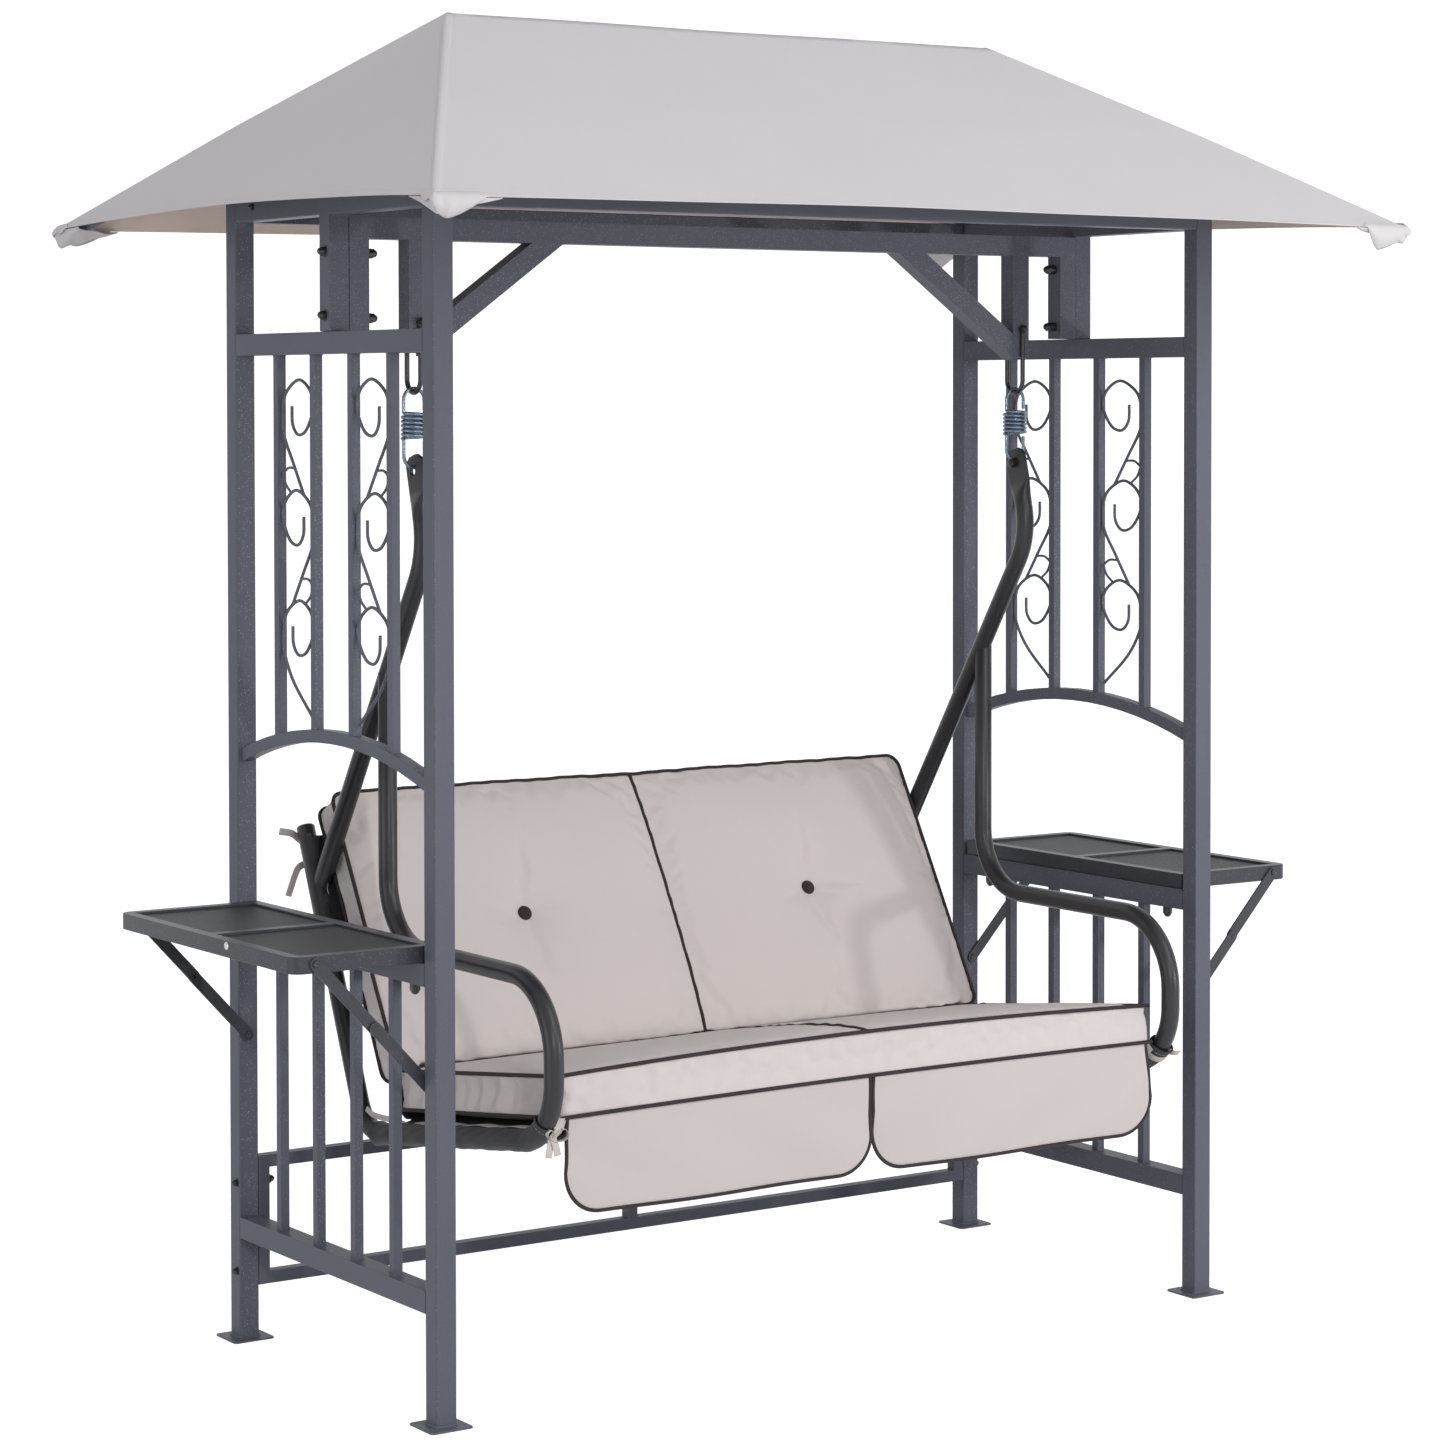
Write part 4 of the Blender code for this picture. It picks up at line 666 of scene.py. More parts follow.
# %% Springs
swing_z, coil_r, coil_top, coil_low, hook_low = 1.5228, 0.01825, 1.4843, 1.4446, 1.4000
hook_reach, wire_radius = 0.0045, 0.0029
half_turn = np.linspace(0, math.pi, 24)
across, rise = coil_r * np.cos(half_turn), coil_r * np.sin(half_turn)
coil = np.linspace(0, 12 * math.pi, 300)
for side, hand in sides:
    x = hand * hang_x
    upper = np.stack([x + across, 0 * across, swing_z - coil_r + rise], -1)
    turns = np.stack([x - coil_r * np.cos(coil), -coil_r * np.sin(coil),
                      coil_top - (coil_top - coil_low) * coil / coil[-1]], -1)
    lower = np.stack([x - across, 0 * across, hook_low + coil_r - rise], -1)
    path = np.vstack([[[x + coil_r, 0, coil_top + hook_reach]], upper, turns, lower,
                      [[x + coil_r, 0, coil_low - hook_reach]]])
    dress(rods(f"spring_wire_{side}", [(even_path(path, 0.0016, 3), wire_radius)], zinc), "springs",
          "spring_zinc", f"spring_{side}")
print("springs done")

# %% [markdown]
# ## The hanging frame
# The armrest, the curve at the front, the seat's side and the rear upright are one bent tube. The
# hanger arm comes down to it, and its top end is pressed flat into an eye plate. The arm is a loft:
# its section goes from a rounded rectangle to a circle, |cos|^p and |sin|^p with p from 0.15 to 1.

# %% Side loops
lean_y, lean_z = 0.365 - 0.163, 0.808 - 0.339
hang_line = np.array([[0.0, 1.4158], [-0.038, 1.271]])
hang_run = np.array([math.sin(math.radians(33)), -math.cos(math.radians(33))])
reach = np.linalg.solve(np.array([hang_run, -np.array([lean_y, lean_z])]).T,
                        np.array([0.163, 0.339]) - hang_line[1])[0]
hang_end = hang_line[1] + hang_run * reach
leg_top = hang_line[1][1] + (0.088 + 0.038) * hang_run[1] / hang_run[0]


def loop_corners(x):
    return [(x, 0.088, leg_top), (x, 0.088, 0.652), (x, -0.410, 0.652), (x, -0.410, 0.4195),
            (x, 0.163, 0.339), (x, 0.365, 0.808)]


tube_radius, loop_radii = 0.015, [0.105, 0.115, 0.100, 0.070]
for side, hand in sides:
    path = rounded_path(loop_corners(hand * hang_x), loop_radii, 18)
    dress(rods(f"loop_tube_{side}", [(path, tube_radius)], seat_paint, 32), "seat", "seat_paint",
          f"side_loop_{side}")
print("hanger meets the upright at", hang_end.round(4))

# %% Hanger arms
def cut_away(piece, cutter):
    """Takes the cutter's volume out of the piece for good and removes the cutter."""
    tool = piece.modifiers.new("cut", "BOOLEAN")
    tool.operation, tool.solver, tool.object = "DIFFERENCE", "EXACT", cutter
    graph = bpy.context.evaluated_depsgraph_get()
    mesh = bpy.data.meshes.new_from_object(piece.evaluated_get(graph))
    piece.modifiers.clear()
    piece.data = mesh
    bpy.data.objects.remove(cutter)
    mesh.polygons.foreach_set("use_smooth", np.ones(len(mesh.polygons), bool))
    crease(mesh, 38)


plate_end, press_end, plate_half, eye_radius = 0.052, 0.097, (0.025, 0.003), 0.008
across_axis = np.array([1.0, 0.0, 0.0])


def lobe(wave, power, size):
    """One half axis of the section: |wave|^power with the sign of the wave."""
    wave = np.where(np.abs(wave) < 1e-9, 0, wave)
    return (np.sign(wave) * np.abs(wave) ** power * size[:, None])[..., None]


for side, hand in sides:
    top = np.array([hand * hang_x, *hang_line[0]])
    knee = np.array([hand * hang_x, *hang_line[1]])
    foot = np.array([hand * (hang_x - 0.005), *hang_end])
    bend = rounded_path([top, knee, foot], [0.120], 16)
    marks = np.array([0.0, 0.003, 0.009, 0.030, plate_end, 0.060, 0.068, 0.076, 0.086, press_end])
    share = np.clip((marks - plate_end) / 0.045, 0, 1)
    share = share ** 1.3 * (2.3 - 1.3 * share)
    path = np.vstack([bend[0] + unit(bend[1] - bend[0]) * marks[:, None], bend[1:]])
    share = np.concatenate([share, np.ones(len(bend) - 1)])
    width, thin = (half * (1 - share) + tube_radius * share for half in plate_half)
    width[:2] *= (0.62, 0.82)
    ahead, behind = np.vstack([path[1:], path[-1:]]), np.vstack([path[:1], path[:-1]])
    normal = unit(np.cross(unit(ahead - behind), across_axis))
    angle = np.linspace(0, 2 * math.pi, 36, endpoint=False)[None]
    power = (0.15 * (1 - share) + share)[:, None]
    rings = (path[:, None, :] + normal[:, None, :] * lobe(np.cos(angle), power, width)
             + across_axis * lobe(np.sin(angle), power, thin))
    arm = make_object(f"hanger_tube_{side}", *joined([(capped(rings), False, True)]), seat_paint)
    eye = np.array([hand * hang_x, 0.0, 1.4028 - eye_radius])
    bore = np.stack([eye + across_axis * k for k in (-0.01, 0.01)])
    cut_away(arm, rods("eye_cutter", [(bore, eye_radius)], seat_paint, 32, (0.0, 0.0, 1.0)))
    dress(arm, "seat", "seat_paint", f"hanger_arm_{side}")
print("hanger arms done")

# %% [markdown]
# ## The canopy
# The roof is one cloth with four slopes, stretched over hip rafters. Each slope sags a little
# between its hips, the short eaves draw inward, and a hem and corner pockets finish the edge.
# It is a grid for each slope, two parameters across and down, welded along the hips.

# %% Canopy surface
half_x, half_y, eave_z = 0.912, 0.626, 1.781
ridge_z, ridge_half = 2.105, 0.532
long_hollow, short_hollow = 0.015, 0.028


def hip_point(hand, fore, share):
    """Hip line from a ridge end, share 0, to an eave corner, share 1, with a slight kink."""
    lift = 0.006 * np.maximum(0.0, 1 - np.abs(share - 0.52) / 0.52)
    x = hand * (ridge_half + (half_x - ridge_half) * share)
    return np.stack([x, fore * half_y * share, ridge_z + (eave_z - ridge_z) * share + lift], -1)


def slope_grid(first, second, hollow, columns):
    """Points of one slope: a line between two hips (hand, fore) that sags as sin(pi s) sin(pi t).

    Its free edge draws up the slope as sin(pi s)^0.75 t^2. A felled seam lies along the hips and
    a folded hem along the eave, each as thick as one more layer of cloth."""
    t = np.concatenate([np.linspace(0, 0.965, 38), np.linspace(0.972, 1.0, 16)])[:, None]
    s = (1 - np.cos(math.pi * np.linspace(0, 1, columns)))[None, :] / 2
    a, b = (hip_point(*corner, t[:, 0])[:, None, :] for corner in (first, second))
    points = a + (b - a) * s[..., None]
    down = (a[-1, 0] + b[-1, 0]) - (a[0, 0] + b[0, 0])
    fall = unit(down)
    out = unit(np.cross(fall, b[-1, 0] - a[-1, 0]))
    out = out * np.sign(out[2])
    bow = np.sin(math.pi * s)
    points[..., 2] -= 0.009 * bow * np.sin(math.pi * t)
    points -= fall * (hollow * np.abs(bow) ** 0.75 * t * t)[..., None]
    width = np.linalg.norm(b - a, axis=-1)
    from_hip = np.minimum(s, 1 - s) * width
    from_eave = (1 - t) * np.linalg.norm(down) / 2
    seam = 0.0008 * np.clip((0.011 - from_hip) / 0.0015, 0, 1) * np.clip(from_hip / 0.0012, 0, 1)
    hem = 0.0007 * np.clip((0.0125 - from_eave) / 0.0012, 0, 1)
    stitch = -0.0007 * np.exp(-((from_eave - 0.0135) / 0.0009) ** 2)
    stitch = stitch - 0.0005 * np.exp(-((from_hip - 0.0120) / 0.0009) ** 2)
    drift = 0.0012 * np.sin(7.0 * s * width + 5.0 * t + 0.8) * np.sin(3.1 * t + 4.0 * s) * bow
    return points + out * (seam + hem + stitch + drift)[..., None]


slopes = [slope_grid((-1, fore), (1, fore), long_hollow, 150) for fore in (-1, 1)]
slopes += [slope_grid((hand, -1), (hand, 1), short_hollow, 120) for hand in (-1, 1)]
# The cloth's own coordinates: along the eave, and down the slope, which is steeper at the sides.
maps = [np.stack([g[..., 0], g[..., 1] * 1.13], -1).reshape(-1, 2) for g in slopes[:2]]
maps += [np.stack([g[..., 1], g[..., 0] * 1.31], -1).reshape(-1, 2) for g in slopes[2:]]
canopy = make_object("canopy_cloth", *joined([(grid, False, False) for grid in slopes]), roof_cloth,
                     uv=np.concatenate(maps))
bm = bmesh.new()
bm.from_mesh(canopy.data)
if sum(f.normal.z * f.calc_area() for f in bm.faces) < 0:
    bmesh.ops.reverse_faces(bm, faces=bm.faces)
canopy_area = sum(f.calc_area() for f in bm.faces)
bm.to_mesh(canopy.data)
bm.free()
canopy.data.materials.append(roof_under)
skin = canopy.modifiers.new("cloth", "SOLIDIFY")
skin.thickness = 0.0012
skin.offset = -1.0
skin.material_offset = 1
skin.material_offset_rim = 0
dress(canopy, "stand", "canopy_cloth", "canopy")
print("canopy area", round(canopy_area, 3))

# %% Corner pockets
# The end of each rafter sits in a pocket. Its patch starts a little up the slope, wraps the corner
# and hangs below the eave in one rounded tooth. A lining closes it below the rafter. A form is the
# tooth's peak and its far end along the eave, its depth, and how far the lining sags.
pocket_forms = {("front", "left"): (0.023, 0.084, 0.029, 0.023),
                ("front", "right"): (0.064, 0.090, 0.035, 0.023),
                ("rear", "left"): (0.036, 0.098, 0.024, 0.028),
                ("rear", "right"): (0.040, 0.090, 0.022, 0.028)}


def eave_point(hand, fore, u):
    """Eave at a corner, the way up its slope and the way out of it, at the distances u.

    u runs from the short eave, below 0, to the long one, and it is 0 at the corner."""
    long_side = ease(u / 0.012 + 0.5)[..., None]
    climb = (np.array([0, -fore * 0.888, 0.460]) * long_side
             + np.array([-hand * 0.761, 0, 0.649]) * (1 - long_side))
    out = np.array([0, fore, 0.0]) * long_side + np.array([hand, 0.0, 0]) * (1 - long_side)
    s = np.where(u > 0, u / (2 * half_x), -u / (2 * half_y))
    hollow = np.where(u > 0, long_hollow, short_hollow) * np.abs(np.sin(math.pi * s)) ** 0.75
    corner = hip_point(hand, fore, np.array(1.0))
    edge = (corner + np.array([-hand, 0, 0]) * np.maximum(u, 0)[..., None]
            + np.array([0, -fore, 0]) * np.maximum(-u, 0)[..., None] + climb * hollow[..., None])
    return edge, climb, out


def pocket_lining(hand, fore, sag):
    """Cloth under the rafter's end, from the short eave (w = 0) to the long one (w = 1).

    It hangs deepest a quarter of the way in, by `sag`, and meets the eaves at the pocket's mouth."""
    t = np.linspace(0.03, 1, 25)[:, None]
    w = np.linspace(0, 1, 33)
    near, far = (eave_point(hand, fore, t[:, 0] * reach)[0][:, None] for reach in (-0.080, 0.112))
    deep = (0.2 + 0.8 * np.sin(math.pi / 2 * np.clip(t / 0.25, 0, 1))) * (1 - 0.85 * t ** 2)
    drop = 0.0015 + sag * deep * np.sin(math.pi * w) ** 0.3
    drop += 0.0015 * np.sin(9 * w + 14 * t) * np.sin(math.pi * w)
    swell = 0.006 * np.sin(math.pi * w) * (1 - t) * np.clip(t / 0.25, 0, 1)
    return (near * (1 - w)[:, None] + far * w[:, None] - np.array([0, 0, 1.0]) * drop[..., None]
            + np.array([hand, fore, 0.0]) * swell[..., None])


def pocket_grid(hand, fore, peak, stop, depth):
    """Strip of cloth round a corner, from a little up the slope (v < 0) to its free edge (v = 1).

    The tooth rises evenly from the corner to its peak and falls steeply to its far end."""
    u = np.linspace(-0.042, stop + 0.006, 73)
    v = np.linspace(-0.38, 1.0, 18)[:, None]
    edge, climb, out = eave_point(hand, fore, u)
    tooth = np.where(u < peak, np.clip((u + 0.012) / (peak + 0.012), 0, 1),
                     np.clip((stop - u) / (stop - peak), 0, 1))
    tooth = tooth * (1.35 - 0.35 * tooth ** 2)
    drop = depth * tooth + 0.006 * np.exp(-((u + 0.024) / 0.012) ** 2) + 0.0012
    fade = np.clip(np.minimum(u + 0.042, stop + 0.006 - u) / 0.010, 0, 1)
    above, below = np.maximum(-v, 0), np.maximum(v, 0)
    fold = 0.0022 * np.sin(u * 260 + 1.3) * np.exp(-((u - 0.006) / 0.022) ** 2)
    puff = (0.0016 + 0.0050 * np.sin(math.pi * below) * tooth + fold * np.clip(below * 3, 0, 1)
            - 0.006 * below ** 3 * tooth)
    lift = climb[None] * (above * 0.030 * fade)[..., None]
    return (edge[None] + lift - np.array([0, 0, 1.0]) * (drop * below * fade)[..., None]
            + out[None] * (puff * fade + 0.0006)[..., None]
            + np.array([0, 0, 1.0]) * (0.0012 * (v < 0.05))[..., None])


for end, fore in ends:
    for side, hand in sides:
        *tooth, sag = pocket_forms[end, side]
        for part, grid in (("pocket", pocket_grid(hand, fore, *tooth)),
                           ("pocket_lining", pocket_lining(hand, fore, sag))):
            uv = np.stack([grid[..., 0] + grid[..., 1], grid[..., 2]], -1)
            pocket = sheet(f"canopy_{part}_{end}_{side}", grid, roof_cloth, 0.0010, uv)
            dress(pocket, "stand", "canopy_cloth")

# %% [markdown]
# ## The cushions
# Each cushion has two stuffed halves with a sewn channel between them, and a border strip with
# piping along both of its seams. Its face is a crown over the seam plane that falls to nothing at
# every seam. The back cushion is tufted with two buttons. The form that the formulas give is then
# stuffed: a cloth simulation swells it under pressure between its seams, which makes the small
# dents and folds of a filled cover. Without the simulation the same form shows, only smoother.

# %% Cushion surfaces
cushion_half = 0.568
seat_slope, back_lean = math.radians(7.4), math.radians(29.8)
loop_front, loop_rear = (-0.410, 0.4195), (0.163, 0.339)
upright_top = (0.365, 0.808)
sling_gap = tube_radius + 0.0003 + 0.0012
run = np.array([0.0, math.cos(seat_slope), -math.sin(seat_slope)])
up = np.array([0.0, math.sin(seat_slope), math.cos(seat_slope)])
rise = np.array([0.0, math.sin(back_lean), math.cos(back_lean)])
rear = np.array([0.0, math.cos(back_lean), -math.sin(back_lean)])
seat_front = np.array([0.0, -0.3825, 0.508])
seat_depth = (loop_rear[0] - 0.005 - seat_front[1]) / math.cos(seat_slope)
seat_thick, back_thick = 0.061, 0.055
back_foot, back_height = np.array([0.0, 0.074, 0.4515]), 0.477


def crown_shape(s, t, channel=0.0):
    """Rise of a stuffed face: 1 - |2|s| - 1|^2.6 across each half, times 1 - |t|^3 along it.

    The sewn channel between the halves lowers its middle by that share of the rise."""
    across = np.abs(2 * np.abs(s) - 1) ** 2.6
    across = 1 - across * np.where(np.abs(s) < 0.5, 1 - channel, 1.0)
    return across * (1 - np.abs(t) ** 3.0)


def front_lift(s):
    """Stuffing lifts the front: the rise of the upper and the lower seam, highest near the middle."""
    return 0.0130 + 0.0002 * s - 0.0122 * s * s, 0.0058 + 0.0015 * s - 0.0043 * s * s


def cushion_plane(origin, s, t, way, length):
    """Points of a flat cushion face: s from -1 to 1 across it, t from -1 to 1 along its way."""
    return (origin + across_axis * (s * cushion_half)[..., None]
            + way * ((t + 1) / 2 * length)[..., None])


def past_corner(past_x, past_y):
    """Share by which a corner's square is drawn in to make a circle; 1 where it isn't a corner."""
    far = np.maximum(np.hypot(past_x, past_y), 1e-9)
    return np.where((past_x > 0) & (past_y > 0), np.maximum(past_x, past_y) / far, 1.0)


def ease_rear(s, t):
    """Moves grid points near a rear corner of the seat cushion onto a quarter ellipse."""
    reach_x, reach_y = 0.060, 0.110
    x, y = np.abs(s) * cushion_half, (t + 1) / 2 * seat_depth
    past_x = np.maximum(x - (cushion_half - reach_x), 0) / reach_x
    past_y = np.maximum(y - (seat_depth - reach_y), 0) / reach_y
    corner = (past_x > 0) & (past_y > 0)
    shrink = past_corner(past_x, past_y)
    x = np.where(corner, cushion_half - reach_x + past_x * shrink * reach_x, x)
    y = np.where(corner, seat_depth - reach_y + past_y * shrink * reach_y, y)
    return np.copysign(x / cushion_half, s), 2 * y / seat_depth - 1


def sling_height(y):
    """Height of the sling's upper face under the seat cushion."""
    share = (loop_rear[1] - loop_front[1]) / (loop_rear[0] - loop_front[0])
    above = (sling_gap + 0.0003) / math.cos(math.atan(share))
    return loop_rear[1] + (y - loop_rear[0]) * share + above


def sling_depth(z):
    """Y of the sling's front face behind the back cushion."""
    lean = math.atan2(upright_top[0] - loop_rear[0], upright_top[1] - loop_rear[1])
    ahead = (sling_gap + 0.0003) / math.cos(lean)
    return loop_rear[0] + (z - loop_rear[1]) * math.tan(lean) - ahead


def pucker(distance, along, pitch, depth, reach):
    """Small folds that a seam gathers: a wave along it that dies out with distance."""
    wander = np.sin(along * 2 * math.pi / (pitch * 5.3) + 1.1) + np.sin(along * 41.0 + 0.4)
    return depth * np.sin(along * 2 * math.pi / pitch + 1.6 * wander) * np.exp(-distance / reach)


def seat_face(s, t):
    """Top of the seat cushion: the seam plane plus the crown, pressed flat under the back."""
    s, t = ease_rear(s, t)
    spot = cushion_plane(seat_front, s, t, run, seat_depth)
    press = np.clip((0.074 - spot[..., 1]) / 0.100, 0, 1)
    edge = np.minimum((1 - np.abs(t)) * seat_depth / 2, (1 - np.abs(s)) * cushion_half)
    middle = np.abs(s) * cushion_half
    lift = 0.0125 * (0.60 - 0.40 * t) * crown_shape(s, t, 1.30) * press ** 2 * (3 - 2 * press)
    lift += front_lift(s)[0] * (1 - t) / 2
    lift += pucker(edge, s * cushion_half + t * 0.3, 0.047, 0.0011, 0.022) * (edge > 1e-6)
    lift += pucker(middle, t * seat_depth / 2, 0.041, 0.0009, 0.018) * (1 - np.abs(t) ** 6)
    return spot + up * lift[..., None]


def seat_under(s, t):
    """Underside of the seat cushion, flat where it lies on the sling."""
    s, t = ease_rear(s, t)
    spot = (cushion_plane(seat_front - up * seat_thick, s, t, run, seat_depth)
            + up * (front_lift(s)[1] * ((1 - t) / 2) ** 3 - 0.030 * crown_shape(s, t))[..., None])
    spot[..., 2] = np.maximum(spot[..., 2], sling_height(spot[..., 1]))
    return spot


def ease_corner(s, t):
    """Moves grid points near a corner of the back cushion onto an arc."""
    radius = 0.020
    x, z = np.abs(s) * cushion_half, np.abs(t) * back_height / 2
    past_x, past_z = x - (cushion_half - radius), z - (back_height / 2 - radius)
    shrink = 1 - past_corner(past_x, past_z)
    x, z = x - past_x * shrink, z - past_z * shrink
    x = x + np.where(s < 0, left_swell(np.copysign(2 * z / back_height, t)) * np.abs(s) ** 3, 0.0)
    return np.copysign(x / cushion_half, s), np.copysign(2 * z / back_height, t)


def left_swell(t):
    """The left end of the back cushion bulges outward, most below the hanger arm."""
    return 0.0060 + 0.0085 * ease((-0.02 - t) / 0.30)


def back_face(s, t):
    """Front of the back cushion: the crown less a dimple round each button, with radial folds."""
    s, t = ease_corner(s, t)
    spot = cushion_plane(back_foot, s, t, rise, back_height)
    dx, dz = (np.abs(s) - 0.5) * cushion_half, t * back_height / 2
    reach = np.hypot(dx, dz)
    fold = 0.0010 * np.sin(5 * np.arctan2(dz, dx) + 0.8 * s) * np.exp(-((reach - 0.035) / 0.028) ** 2)
    edge = np.minimum((1 - np.abs(t)) * back_height / 2, (1 - np.abs(s)) * cushion_half)
    middle = np.abs(s) * cushion_half
    out = 0.024 * crown_shape(s, t, 0.45) - 0.016 * np.exp(-(reach / 0.060) ** 2) + fold
    ripple = 0.0005 * np.sin(31 * s + 0.6 + 2 * np.sin(7 * s)) + 0.0004 * np.sin(83 * s)
    dip = 0.0015 * np.exp(-(s * cushion_half / 0.09) ** 2) - 0.0016 + ripple
    spot = spot - rise * (dip * np.maximum(t, 0) ** 6)[..., None]
    out += pucker(edge, s * cushion_half + t * 0.31, 0.052, 0.0011, 0.024) * (edge > 1e-6)
    out += pucker(middle, t * back_height / 2, 0.043, 0.0009, 0.018) * (1 - np.abs(t) ** 6)
    return spot - rear * out[..., None]


def back_behind(s, t):
    """Rear of the back cushion, flat on the sling and lifted over the seat cushion."""
    s, t = ease_corner(s, t)
    spot = (cushion_plane(back_foot + rear * back_thick, s, t, rise, back_height)
            + rear * (0.040 * crown_shape(s, t))[..., None])
    toe = np.maximum(0.0, 1 - (t + 1) / 2 / 0.31)
    at_end = np.clip((np.abs(s) - 0.945) / 0.045, 0, 1)
    spot[..., 2] += (0.034 - 0.036 * at_end) * toe ** 2
    spot[..., 1] = np.minimum(spot[..., 1], sling_depth(spot[..., 2]))
    return spot


def perimeter(grid):
    """Points round a grid's border, in order, without a repeat."""
    return np.concatenate([grid[0, :-1], grid[:-1, -1], grid[-1, :0:-1], grid[:0:-1, 0]])


def boxed(name, face, under, columns, rows, node):
    """Closed cushion: face, underside, and a border strip that is drawn in between its seams."""
    s, t = np.meshgrid(np.linspace(-1, 1, columns), np.linspace(-1, 1, rows))
    top, low = face(s, t), under(s, t)
    upper, lower = perimeter(top), perimeter(low)
    centre = (upper.mean(0) + lower.mean(0)) / 2
    k = np.linspace(0, 1, 9)[:, None, None]
    around = distances(upper)[None, :, None]
    gather = np.sin(around * 2 * math.pi / 0.047 + 3.6 * k + 1.5 * np.sin(around * 23))
    at_side = np.clip((np.abs(upper[None, :, :1]) - 0.50) / 0.06, 0, 1)
    drawn_in = (0.004 + (0.0006 + 0.0040 * at_side) * gather) * np.sin(math.pi * k)
    strip = (upper[None] * (1 - k) + lower[None] * k
             + unit(centre - (upper + lower) / 2)[None] * drawn_in)
    parts = ((top, False, False), (low, False, False), (strip, False, True))
    obj = make_object(name, *joined(parts), cushion_cloth)
    return dress(obj, "seat", "cushion_cloth", node), upper, lower


def nearest(points, marks):
    """Distance from each point to the nearest mark, and that mark, worked out in blocks."""
    gaps, which = [], []
    for block in np.array_split(points, max(1, len(points) // 1500)):
        apart = np.sqrt(((block[:, None, :] - marks[None]) ** 2).sum(-1))
        which.append(apart.argmin(1))
        gaps.append(apart.min(1))
    return np.concatenate(gaps), marks[np.concatenate(which)]


def vertex_values(mesh, what):
    """One vector of each vertex, its place "co" or its "normal", as an array of rows."""
    values = np.zeros(len(mesh.vertices) * 3)
    mesh.vertices.foreach_get(what, values)
    return values.reshape(-1, 3)


def stuffed(obj, seams, inner, out, cap):
    """Cloth simulation of a cushion: the cover is a little too large, held at its seams and tufts.

    The cover is remeshed evenly, swells for 20 frames under pressure with 2.6% more cloth than the
    form, and each point then keeps at most `cap` of its move. Points near an outer seam are drawn
    onto it first, so the piping sits tight. `inner` marks are the channel and the tufts. Faces
    turned away from `out` lie on the sling and keep only a tenth of the move."""
    scene = bpy.context.scene
    remesh = obj.modifiers.new("even", "REMESH")
    remesh.mode, remesh.voxel_size, remesh.use_smooth_shade = "VOXEL", 0.0078, True
    graph = bpy.context.evaluated_depsgraph_get()
    mesh = bpy.data.meshes.new_from_object(obj.evaluated_get(graph))
    obj.modifiers.clear()
    obj.data = mesh
    rest, normals = vertex_values(mesh, "co"), vertex_values(mesh, "normal")
    gap, mark = nearest(rest, seams)
    snap = 0.9 * np.clip((0.0085 - gap) / 0.004, 0, 1)[:, None]
    rest = rest * (1 - snap) + mark * snap
    held = np.maximum(np.clip((0.015 - gap) / 0.009, 0, 1),
                      np.clip((0.017 - nearest(rest, inner)[0]) / 0.010, 0, 1))
    mesh.vertices.foreach_set("co", rest.ravel())
    mesh.update()
    group = obj.vertex_groups.new(name="seams")
    for level in np.unique(np.round(held, 1)):
        chosen = np.nonzero(np.round(held, 1) == level)[0].tolist()
        group.add(chosen, float(level), "REPLACE")
    cloth = obj.modifiers.new("cloth", "CLOTH")
    for setting, value in {"quality": 5, "mass": 0.25, "tension_stiffness": 12,
                           "compression_stiffness": 12, "shear_stiffness": 5,
                           "bending_stiffness": 0.35, "use_pressure": True,
                           "uniform_pressure_force": 3.0, "shrink_min": -0.026,
                           "vertex_group_mass": "seams"}.items():
        setattr(cloth.settings, setting, value)
    cloth.settings.effector_weights.gravity = 0.0
    cloth.collision_settings.use_collision = False
    last_frame = 20
    cloth.point_cache.frame_start, cloth.point_cache.frame_end = 1, last_frame
    for frame_number in range(1, last_frame + 1):
        scene.frame_set(frame_number)
    swollen = obj.evaluated_get(bpy.context.evaluated_depsgraph_get())
    move = vertex_values(swollen.to_mesh(), "co") - rest
    swollen.to_mesh_clear()
    obj.modifiers.clear()
    facing = normals @ unit(np.asarray(out, float))
    share = 0.1 + 0.9 * np.clip((facing + 0.45) / 0.35, 0, 1)
    length = np.linalg.norm(move, axis=1, keepdims=True)
    move *= np.minimum(1.0, cap / np.maximum(length, 1e-9)) * share[:, None]
    mesh.vertices.foreach_set("co", (rest + move).ravel())
    mesh.update()
    scene.frame_set(1)
    obj.vertex_groups.clear()
    finer = obj.modifiers.new("finer", "SUBSURF")
    finer.levels = finer.render_levels = 1
    print(obj.name, "vertices", len(rest), "largest move", round(float(length.max()), 4))


centre_run = np.linspace(-1, 1, 90)
zero_run = np.zeros_like(centre_run)
seat_middle, back_middle = seat_face(zero_run, centre_run), back_face(zero_run, centre_run)
tufts = back_face(np.array([-0.5, 0.5]), np.zeros(2))
seat_cushion, seat_upper, seat_lower = boxed("seat_cushion_cover", seat_face, seat_under, 181, 95,
                                             "seat_cushion")
stuffed(seat_cushion, np.vstack([seat_upper, seat_lower]), seat_middle, up, 0.0035)
back_cushion, back_upper, back_lower = boxed("back_cushion_cover", back_face, back_behind, 181, 83,
                                             "back_cushion")
stuffed(back_cushion, np.vstack([back_upper, back_lower]), np.vstack([back_middle, tufts]), -rear,
        0.006)

# %% Piping
piping_radius = 0.0032
for name, path, lean in (("seat_piping_upper", seat_upper, up),
                         ("seat_piping_lower", seat_lower, up),
                         ("back_piping_front", back_upper, rear),
                         ("back_piping_rear", back_lower, rear)):
    dress(rods(name, [(path, piping_radius)], piping_cloth, 10, lean, closed=True),
          "seat", "button_cloth")
for name, path in (("seat_piping_middle", seat_middle), ("back_piping_middle", back_middle)):
    dress(rods(name, [(path, piping_radius)], piping_cloth, 10), "seat", "button_cloth")
print("piping done")

